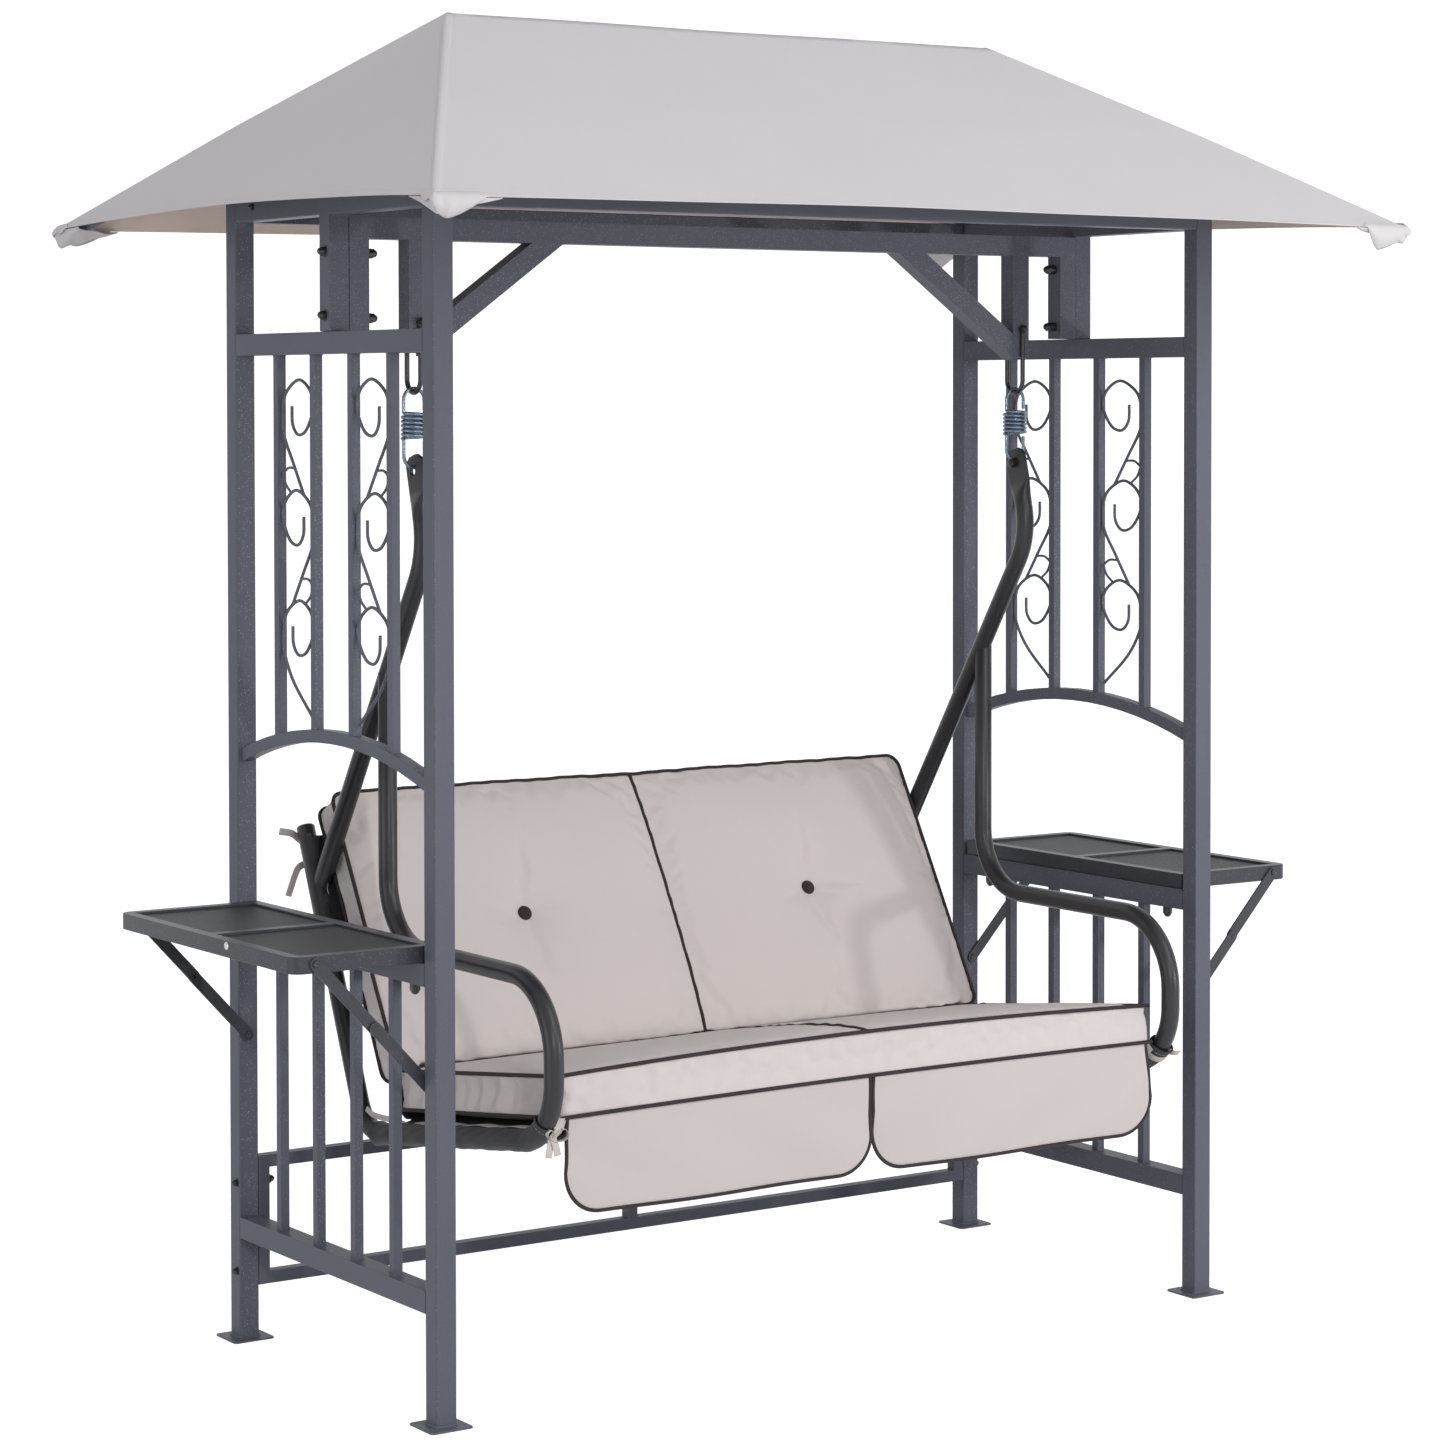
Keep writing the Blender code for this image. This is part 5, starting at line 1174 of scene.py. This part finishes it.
# %% Tuft buttons
def turned(profile, centre, axis, steps=24):
    """Points of a turned form: radius and height of a profile, swept round an axis."""
    axis = unit(np.asarray(axis, float))
    first = unit(np.cross(axis, [0.3, 0.2, 1.0] if abs(axis[2]) < 0.9 else [1.0, 0.0, 0.0]))
    second = np.cross(axis, first)
    angle = np.linspace(0, 2 * math.pi, steps, endpoint=False)
    spoke = first * np.cos(angle)[:, None] + second * np.sin(angle)[:, None]
    profile = np.asarray(profile, float)
    return (np.asarray(centre, float) + spoke[None] * profile[:, 0, None, None]
            + axis * profile[:, 1, None, None])


def dome(wide, tall, inner=0.0, base=0.0, steps=7):
    """Profile of a dome, from its rim to its top, as radius and height."""
    a = np.linspace(0, math.pi / 2, steps)
    return np.stack([inner + wide * np.cos(a), base + tall * np.sin(a)], -1).tolist()


button_profile = [[0.0, -0.001], [0.0115, -0.001], *dome(0.0125, 0.0062, steps=9)]
for (side, hand), spot in zip(sides, tufts):
    rings = turned(button_profile, spot - rear * 0.0030, -rear)
    button = make_object(f"button_{side}", *joined([(rings, False, True)]), piping_cloth)
    dress(button, "seat", "button_cloth", f"tuft_button_{side}")
print("buttons done")

# %% [markdown]
# ## The skirts
# Two flaps hang from the front seam of the seat cushion. Each is a sheet with rounded lower
# corners and a dark binding folded over its free edge. Their cloth is the cushion's, darkened as
# painted shade.

# %% Skirts
lip = seat_front - up * seat_thick
skirt_drop, skirt_corner = 0.143, 0.060
skirt_near = 0.004
skirt_width = cushion_half - 0.012 - skirt_near


def skirt_grid(hand):
    """Flap: straight down from the seam, a slow wave across, its lower corners cut to arcs."""
    s = (1 - np.cos(math.pi * np.linspace(0, 1, 70)))[None, :] / 2
    t = np.linspace(0, 1, 22)[:, None]
    edge = np.minimum(s, 1 - s) * skirt_width
    short = skirt_corner - np.sqrt(np.maximum(0, skirt_corner ** 2
                                              - np.maximum(0, skirt_corner - edge) ** 2))
    x = hand * (skirt_near + skirt_width * s + (0.0045 + 0.0035 * hand) * s ** 6 * t)
    wave = 0.0035 * np.sin(3 * math.pi * s + hand) + 0.0012 * np.sin(9.5 * s + 1.0 + hand)
    fold = 0.0016 * np.sin(14 * s + 5 * t + hand) * np.sin(math.pi * t)
    y = lip[1] + 0.0018 + wave * t + fold
    z = lip[2] - 0.0018 + front_lift(x / cushion_half)[1] * (1 - t) - (skirt_drop - short) * t
    return np.stack([x, y + 0 * x, z], -1)


for side, hand in sides:
    grid = skirt_grid(hand)
    flap = sheet(f"skirt_flap_{side}", grid, skirt_cloth_shaded, 0.0022, grid[..., [0, 2]])
    dress(flap, "seat", "cushion_cloth", f"skirt_{side}")
    edge = np.concatenate([grid[:-1, 0], grid[-1, :-1], grid[::-1, -1]])
    keep = np.concatenate([[True], np.linalg.norm(np.diff(edge, axis=0), axis=1) > 4e-4])
    binding = rods(f"skirt_binding_{side}", [(edge[keep], 0.0022)], piping_cloth, 10, (0.0, 1.0, 0.0),
                   flat=1.5)
    dress(binding, "seat", "button_cloth")
print("skirts done")

# %% [markdown]
# ## The sling
# The cushions lie on a black cloth that is stretched between the two loops. Along the seat it is
# sewn into sleeves that run round the tube; along the back it wraps the rear of each upright. The
# sheet is a line in side view carried across, with a slack that hangs between the tubes.

# %% Sling sheet
def sling_line(offset):
    """Side view of the sling: seat, bend and back, each offset from the tubes toward the sitter."""
    front, foot, head = (np.array(v) for v in (loop_front, loop_rear, upright_top))
    run_2d, rise_2d = unit(foot - front), unit(head - foot)
    above, ahead = np.array([-run_2d[1], run_2d[0]]), np.array([-rise_2d[1], rise_2d[0]])
    bend = math.acos(run_2d @ rise_2d) / 2
    start = front + run_2d * 0.075 / run_2d[0] + above * offset
    corner = foot + unit(above + ahead) * (offset / math.cos(bend))
    stop = head - rise_2d * 0.020 + ahead * offset
    return rounded_path([start, corner, stop], [0.070 - offset], 14)


side_view = even_path(np.insert(sling_line(sling_gap - 0.0008), 0, 0.0, axis=1), 0.0075, 0)[:, 1:]
tangent = unit(np.gradient(side_view, axis=0))
behind = np.stack([tangent[:, 1], -tangent[:, 0]], -1)
s = np.linspace(-1, 1, 121)[None, :]
along = np.linspace(0, 1, len(side_view))[:, None]
slack = 0.010 * (1 - s ** 2) * np.sin(math.pi * np.clip((along - 0.52) / 0.48, 0, 1)) ** 2
slack = slack + 0.0014 * np.exp(-((1 - np.abs(s)) / 0.06) ** 2) * np.sin(along * 150 + 3 * s)
from_bend = np.linalg.norm(side_view - np.array(loop_rear), axis=1)
reach = np.where(side_view[:, 0] > loop_rear[0] - 0.012, 0.292, 0.100)
notch = 0.056 * ease((reach - from_bend) / 0.045)[:, None]
grid = np.zeros((len(side_view), s.shape[1], 3))
grid[..., 0] = s * (hang_x + 0.002 - notch)
grid[..., 1:] = side_view[:, None, :] + behind[:, None, :] * slack[..., None]
uv = np.stack([grid[..., 0], along + 0 * s], -1)
sling = dress(sheet("sling_sheet", grid, sling_cloth, 0.0012, uv), "seat", "sling_cloth", "sling")

# %% Sleeves and cuffs
def sleeve(name, path, cover, flare, hand, reach=0.012, power=1, tail=0.0):
    """Cloth round a tube: radius 16.6 mm plus small wrinkles; the ends open by `flare` and `tail`.

    cover is the share of a full turn that the cloth takes, centred on the tube's inner rear."""
    path = np.asarray(path, float)
    along = distances(path)[:, None]
    tangent = unit(np.gradient(path, axis=0))
    level = np.array([-hand, 0.0, 0.0])
    low_side = unit(np.cross(tangent, level)) * hand
    angle = np.linspace(-math.pi * cover, math.pi * cover, 45)[None, :] + math.radians(-60)
    wrinkle = 0.0004 * np.sin(2 * angle + along * 70) + 0.0003 * np.sin(5 * angle - along * 160 + 1)
    mouth = flare * np.exp(-(along / reach) ** power) + tail * np.exp(-(along[-1] - along) / 0.010)
    radius = 0.0166 + wrinkle + mouth * (1 + 0.35 * np.sin(3 * angle + 0.6 * hand))
    spoke = level * np.cos(angle)[..., None] + low_side[:, None, :] * np.sin(angle)[..., None]
    rings = path[:, None, :] + spoke * radius[..., None]
    uv = np.stack([angle * 0.016 + 0 * along, along + 0 * angle], -1)
    return dress(sheet(name, rings, sling_cloth, 0.0010, uv, 1e-4), "seat", "sling_cloth")


for side, hand in sides:
    whole = even_path(rounded_path(loop_corners(hand * hang_x), loop_radii, 18), 0.004, 0)
    start = np.argmax((whole[:, 1] > -0.40) & (whole[:, 2] < 0.4455) & (whole[:, 1] < 0))
    stop = np.argmax((whole[:, 1] > 0.122) & (whole[:, 2] < 0.5))
    sleeve(f"seat_sleeve_{side}", whole[start:stop], 1.0,
                              0.0006 if hand < 0 else 0.0034, hand, tail=0.0025)
    foot, head = np.array([hand * hang_x, *loop_rear]), np.array([hand * hang_x, *upright_top])
    up_run = foot + (head - foot) * np.linspace(0.958, 0.575, 60)[:, None]
    sleeve(f"back_sleeve_{side}", up_run, 0.36, 0.0040, hand, 0.044, 6)
    seam = whole[start + 2]
    lead = unit(whole[start + 3] - whole[start + 1])
    first = unit(np.cross(lead, across_axis))
    stitches, seam_radius = [], 0.0176 if hand < 0 else 0.0192
    for k in range(18):
        a = np.linspace(k, k + 0.62, 4) * 2 * math.pi / 18
        stitches.append((seam + first * (np.cos(a) * seam_radius)[:, None]
                         + across_axis * (np.sin(a) * seam_radius)[:, None], 0.00045))
    thread = rods(f"sleeve_stitch_{side}", stitches, thread_grey, 6)
    dress(thread, "seat", "sling_cloth")
print("sleeves done")

# %% [markdown]
# ## Ties
# Beige tapes sewn to the cushions tie them to the tubes. A tape is a flat band that follows a path,
# with the direction of its width given at every point. On the left two tapes end in a bow at the
# front bend. On the right one tape goes round the bend and ends in a stray tail.

# %% Tapes
def tape(name, path, width, wide, thick=0.0009, closed=False):
    """Flat band: an oval section of that width, its long axis `wide`, carried along the path."""
    band = rods(name, [(path, width / 2)], tie_cloth, 12, wide, thick / width, closed)
    return dress(band, "seat", "cushion_cloth")


def blended(first, second, count):
    """Directions that turn from one to the other between two shares of the way."""
    start, stop = 0.4, 0.7
    k = np.clip((np.linspace(0, 1, count) - start) / (stop - start), 0, 1)[:, None]
    return unit(np.asarray(first, float) * (1 - k) + np.asarray(second, float) * k)


bend_y, bend_z = -0.3795, 0.4350
bend_along = np.array([0.0, 0.68, -0.733])
bend_out = np.array([0.0, -0.733, -0.68])
tie_width = 0.0115


def free_tape(name, points, wide):
    """Tape along a smooth curve.

    `wide` gives the direction of its width at its start and at its end."""
    path = even_path(smooth_curve(points, 8), 0.0035, 1)
    piece = tape(name, path, tie_width, blended(*wide, len(path)))


knot = np.array([-0.588, bend_y, bend_z]) + bend_out * 0.0215
for number, (lead, spread, size) in enumerate((((-0.45, -0.25, 0.85), (0.85, 0.0, 0.4), 0.017),
                                               ((0.93, -0.2, 0.30), (-0.25, 0.0, 0.9), 0.027))):
    a = np.linspace(0, 2 * math.pi, 40, endpoint=False)[:, None]
    lead, spread = unit(np.array(lead)), unit(np.array(spread))
    path = knot + size * (lead * (1 - np.cos(a)) / 2
                          + spread * 0.30 * np.sin(a) * (1 - 0.3 * np.cos(a)))
    tape(f"tie_bow_loop_{number}", path, tie_width,
                      unit(np.cross(lead, spread)), closed=True)
a = np.linspace(0, 2 * math.pi, 24, endpoint=False)[:, None]
tape("tie_bow_knot", knot + 0.0042 * (np.cos(a) * np.array([0.3, 0, 0.95])
                                                   + np.sin(a) * np.array([0, -1.0, 0])),
                  0.0085, (0.95, 0.0, -0.3), 0.0016, closed=True)
seam_corner = np.array([-0.562, -0.380, 0.4485])
free_tape("tie_front_left",
          np.vstack([seam_corner, (-0.5660, -0.3890, 0.4500), (-0.5740, -0.3970, 0.4440),
                     (-0.5815, -0.4010, 0.4340), knot + (0, -0.002, 0),
                     knot + (-0.005, -0.0045, -0.012), knot + (-0.008, -0.0055, -0.026)]),
          (across_axis, across_axis))
free_tape("tie_front_left_inner",
          np.vstack([seam_corner + (0.006, 0.001, 0.0), (-0.5665, -0.3900, 0.4440),
                     (-0.5760, -0.3985, 0.4330), knot + (0.002, -0.002, 0.003),
                     knot + (0.0045, -0.006, -0.010), knot + (0.0065, -0.0075, -0.024)]),
          (across_axis, across_axis))
# Round the bend: angle 0 faces the seat's middle, pi/2 up and back, pi outward.
a = np.linspace(-0.3, 8.2, 40)[:, None]
wound = (np.array([hang_x, bend_y, bend_z])
         + 0.0188 * (np.cos(a) * np.array([-1, 0, 0]) - np.sin(a) * bend_out)
         + bend_along * 0.010 * (a - a[0]) / (a[-1] - a[0]))
free_tape("tie_front_right",
          np.vstack([seam_corner * (-1, 1, 1), wound, (0.6060, -0.3990, 0.4300),
                     (0.6200, -0.4000, 0.4285)]),
          (bend_along, bend_along))
for side, hand in sides:
    x = hand * hang_x
    free_tape(f"tie_upper_{side}",
              np.array([(hand * 0.560, 0.330, 0.7760), (hand * 0.566, 0.358, 0.7760),
                        (x + hand * -0.008, 0.3830, 0.7800), (x + hand * 0.007, 0.3880, 0.7920),
                        (x + hand * 0.017, 0.3850, 0.7975), (x + hand * 0.036, 0.3880, 0.8010)]),
              ((0, 0.05, 1.0), (-0.15 * hand, -0.10, 1.0)))
    free_tape(f"tie_lower_{side}",
              np.array([(hand * 0.560, 0.312, 0.7480), (hand * 0.566, 0.345, 0.7480),
                        (x + hand * -0.008, 0.3640, 0.7480), (x + hand * 0.008, 0.3700, 0.7440),
                        (x + hand * 0.0175, 0.3690, 0.7300), (x + hand * 0.0280, 0.3730, 0.6960)]),
              ((0, 0.3, 1.0), (hand, 0.0, 0.4)))
    strip_y = np.linspace(-0.325, 0.010, 40)
    strip = np.stack([np.full_like(strip_y, hand * 0.580), strip_y,
                      sling_height(strip_y) + 0.0010 + 0.0012 * np.sin(60 * strip_y)], -1)
    tape(f"seat_under_tape_{side}", strip, 0.024, across_axis)
    over = np.array([(hand * 0.575, 0.060, 0.3655), (hand * 0.590, 0.072, 0.3730),
                     (hand * 0.597, 0.100, 0.3740), (hand * 0.598, 0.130, 0.3745),
                     (hand * 0.596, 0.155, 0.3800)])
    tape(f"rear_bend_tape_{side}", even_path(smooth_curve(over, 8), 0.003, 1), 0.009,
         (0.35, 0.0, 1.0))
    tab = np.array([(hand * 0.586, 0.300, 0.7215), (hand * 0.589, 0.2960, 0.7130),
                    (hand * 0.588, 0.2925, 0.7060)])
    tape(f"upright_tab_{side}", even_path(smooth_curve(tab, 6), 0.002, 0), 0.006, (0.6, 0.8, 0.1))
print("ties done")

# %% [markdown]
# ## Fasteners and welds
# Cap nuts cover the bolts' ends, rivets let the tray stays turn, and a pin sits in each upright.
# Each is a profile turned round its axis. Where square tubes meet, a thin weld bead runs round the
# joint.

# %% Cap nuts, rivets and pins
def fastener(name, spots, axis, size, body="stand", paint=hardware_black, kind="cap", stem=0.0):
    """Turned profiles at several spots along one axis: washer, hexagon and dome, or a rivet head.

    Profiles are in head sizes. A stem stands a cap off the face on a sleeve."""
    foot = 1.0 if stem else 1.25
    forms = (([[0, -stem], [foot, -stem], [foot, 0.18], [0, 0.18]], 24),
             ([[0, 0.18], [1.0, 0.18], [1.0, 0.75], [0.93, 0.85], [0, 0.85]], 6),
             ([[0, 0.8], *dome(0.80, 0.80, base=0.8)], 20))
    if kind == "rivet":
        forms = (([[0, 0], [1.0, 0], *dome(0.45, 0.35, 0.55, 0.1), [0.30, 0.30], [0, 0.26]], 24),)
    heads = [(turned(np.array(profile, float) * size, spot, axis, steps), False, True)
             for spot in spots for profile, steps in forms]
    piece = make_object(name, *joined(heads), paint)
    crease(piece.data, 40)
    dress(piece, body, "seat_paint" if body == "seat" else "frame_paint")


outer_face, inner_face = 0.7472, 0.6685
for side, hand in sides:
    out = np.array([hand, 0.0, 0.0])
    fastener(f"overhead_nuts_outer_{side}", [(hand * outer_face, 0.0, z) for z in (1.731, 1.634)],
             out, 0.0072)
    fastener(f"overhead_nuts_inner_{side}", [(hand * inner_face, 0.0, z) for z in (1.729, 1.630)],
             -out, 0.0078, stem=1.35)
    fastener(f"bow_nut_{side}", [(hand * (hang_x - 0.001), -0.0235, 1.6255)], (0, -1, 0), 0.0062)
    fastener(f"mid_rail_nuts_{side}", [(hand * post_x, y, 0.6390) for y in (-0.243, 0.243)],
             (0, 0, -1), 0.0080, stem=0.9)
    fastener(f"ladder_bolts_{side}", [(hand * outer_face, 0.311, z) for z in (0.252, 0.110)], out,
             0.0058)
    fastener(f"ladder_nut_{side}", [(hand * 0.6895, 0.311, 0.252)], -out, 0.0060)
    fastener(f"top_rail_bolt_{side}", [(hand * outer_face, 0.239, 1.8085)], out, 0.0046)
    fastener(f"tray_rivet_{side}", [(hand * 0.9580, -0.0835, 0.6980)], out, 0.0060, f"tray_{side}",
             rivet_steel, "rivet")
    for end, fore in ends:
        front = np.array([0.0, fore, 0.0])
        fastener(f"stay_post_rivet_{side}_{end}", [(hand * 0.732, fore * 0.2967, 0.491)], -front,
                 0.0052, f"stay_lower_{side}_{end}", kind="rivet")
        fastener(f"stay_knee_rivet_{side}_{end}", [(hand * 0.827, fore * 0.2997, 0.5925)], front,
                 0.0034, f"stay_lower_{side}_{end}", tray_paint, "rivet")
        fastener(f"stay_tray_rivet_{side}_{end}", [(hand * 0.922, fore * 0.2968, 0.694)], front,
                 0.0056, f"stay_upper_{side}_{end}", kind="rivet")
    pin_way = unit(np.array([hand * 0.30, -0.90, 0.25]))
    pin = np.array([hand * hang_x, 0.3585, 0.793]) + pin_way * 0.0142
    fastener(f"upright_pin_{side}", [pin], pin_way, 0.0042, "seat", kind="rivet")
print("fasteners done")

# %% Weld beads
def square_bead(centre, half, radius):
    """Closed level square path with rounded corners round an upright tube, and its uneven radius."""
    a, r = np.linspace(0, 2 * math.pi, 41)[:-1], 0.0030
    flat = np.stack([np.clip(np.cos(a) * 2, -1, 1) * (half - r) + r * np.cos(a),
                     np.clip(np.sin(a) * 2, -1, 1) * (half - r) + r * np.sin(a)], -1)
    path = np.insert(flat, 2, 0.0, axis=1) + np.asarray(centre, float)
    return path, radius * (1 + 0.18 * np.sin(a * 9 + 1.0))


baluster_y = (np.arange(4) - 1.5) * 0.1215
for side, hand in sides:
    x = hand * post_x
    beads = {"baluster": [square_bead((x, y, z), 0.0078, 0.0013)
                          for y in baluster_y for z in (1.5750, 0.6460, 0.1987)],
             "post": [square_bead((x, fore * 0.317, 0.0036), 0.0172, 0.0022) for _, fore in ends]}
    for part, runs in beads.items():
        dress(rods(f"{part}_welds_{side}", runs, stand_paint, 7, (0.0, 0.0, 1.0), closed=True),
              "stand", "frame_paint")
print("welds done")

# %% [markdown]
# ## Tray panels
# Each tray window is filled with fine wire mesh. The panel is a thin sheet that sags by a
# millimetre, and the weave of the wires is a bump and a colour on it, because its wires are finer
# than any render of the whole seat shows. The gaps between the wires are painted near black, a
# painted shade.

# %% Tray mesh
for side, hand in sides:
    for end, fore in ends:
        low, high = (np.array(c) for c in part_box(f"tray_mesh_{side}_{end}"))
        s, t = np.meshgrid(np.linspace(0, 1, 31), np.linspace(0, 1, 31))
        grid = np.stack([low[0] + (high[0] - low[0]) * s, low[1] + (high[1] - low[1]) * t,
                         high[2] + 0.0045 - 0.0016 * np.sin(math.pi * s) * np.sin(math.pi * t)], -1)
        panel = sheet(f"tray_panel_{side}_{end}", grid, tray_wire_and_gap_shade, 0.0010, grid[..., :2])
        dress(panel, f"tray_{side}", "tray_mesh", f"tray_mesh_{side}_{end}")
print("tray panels done")

# %% Closing lines
low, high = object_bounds()
print("visual box:", [round(c, 4) for c in low], [round(c, 4) for c in high])
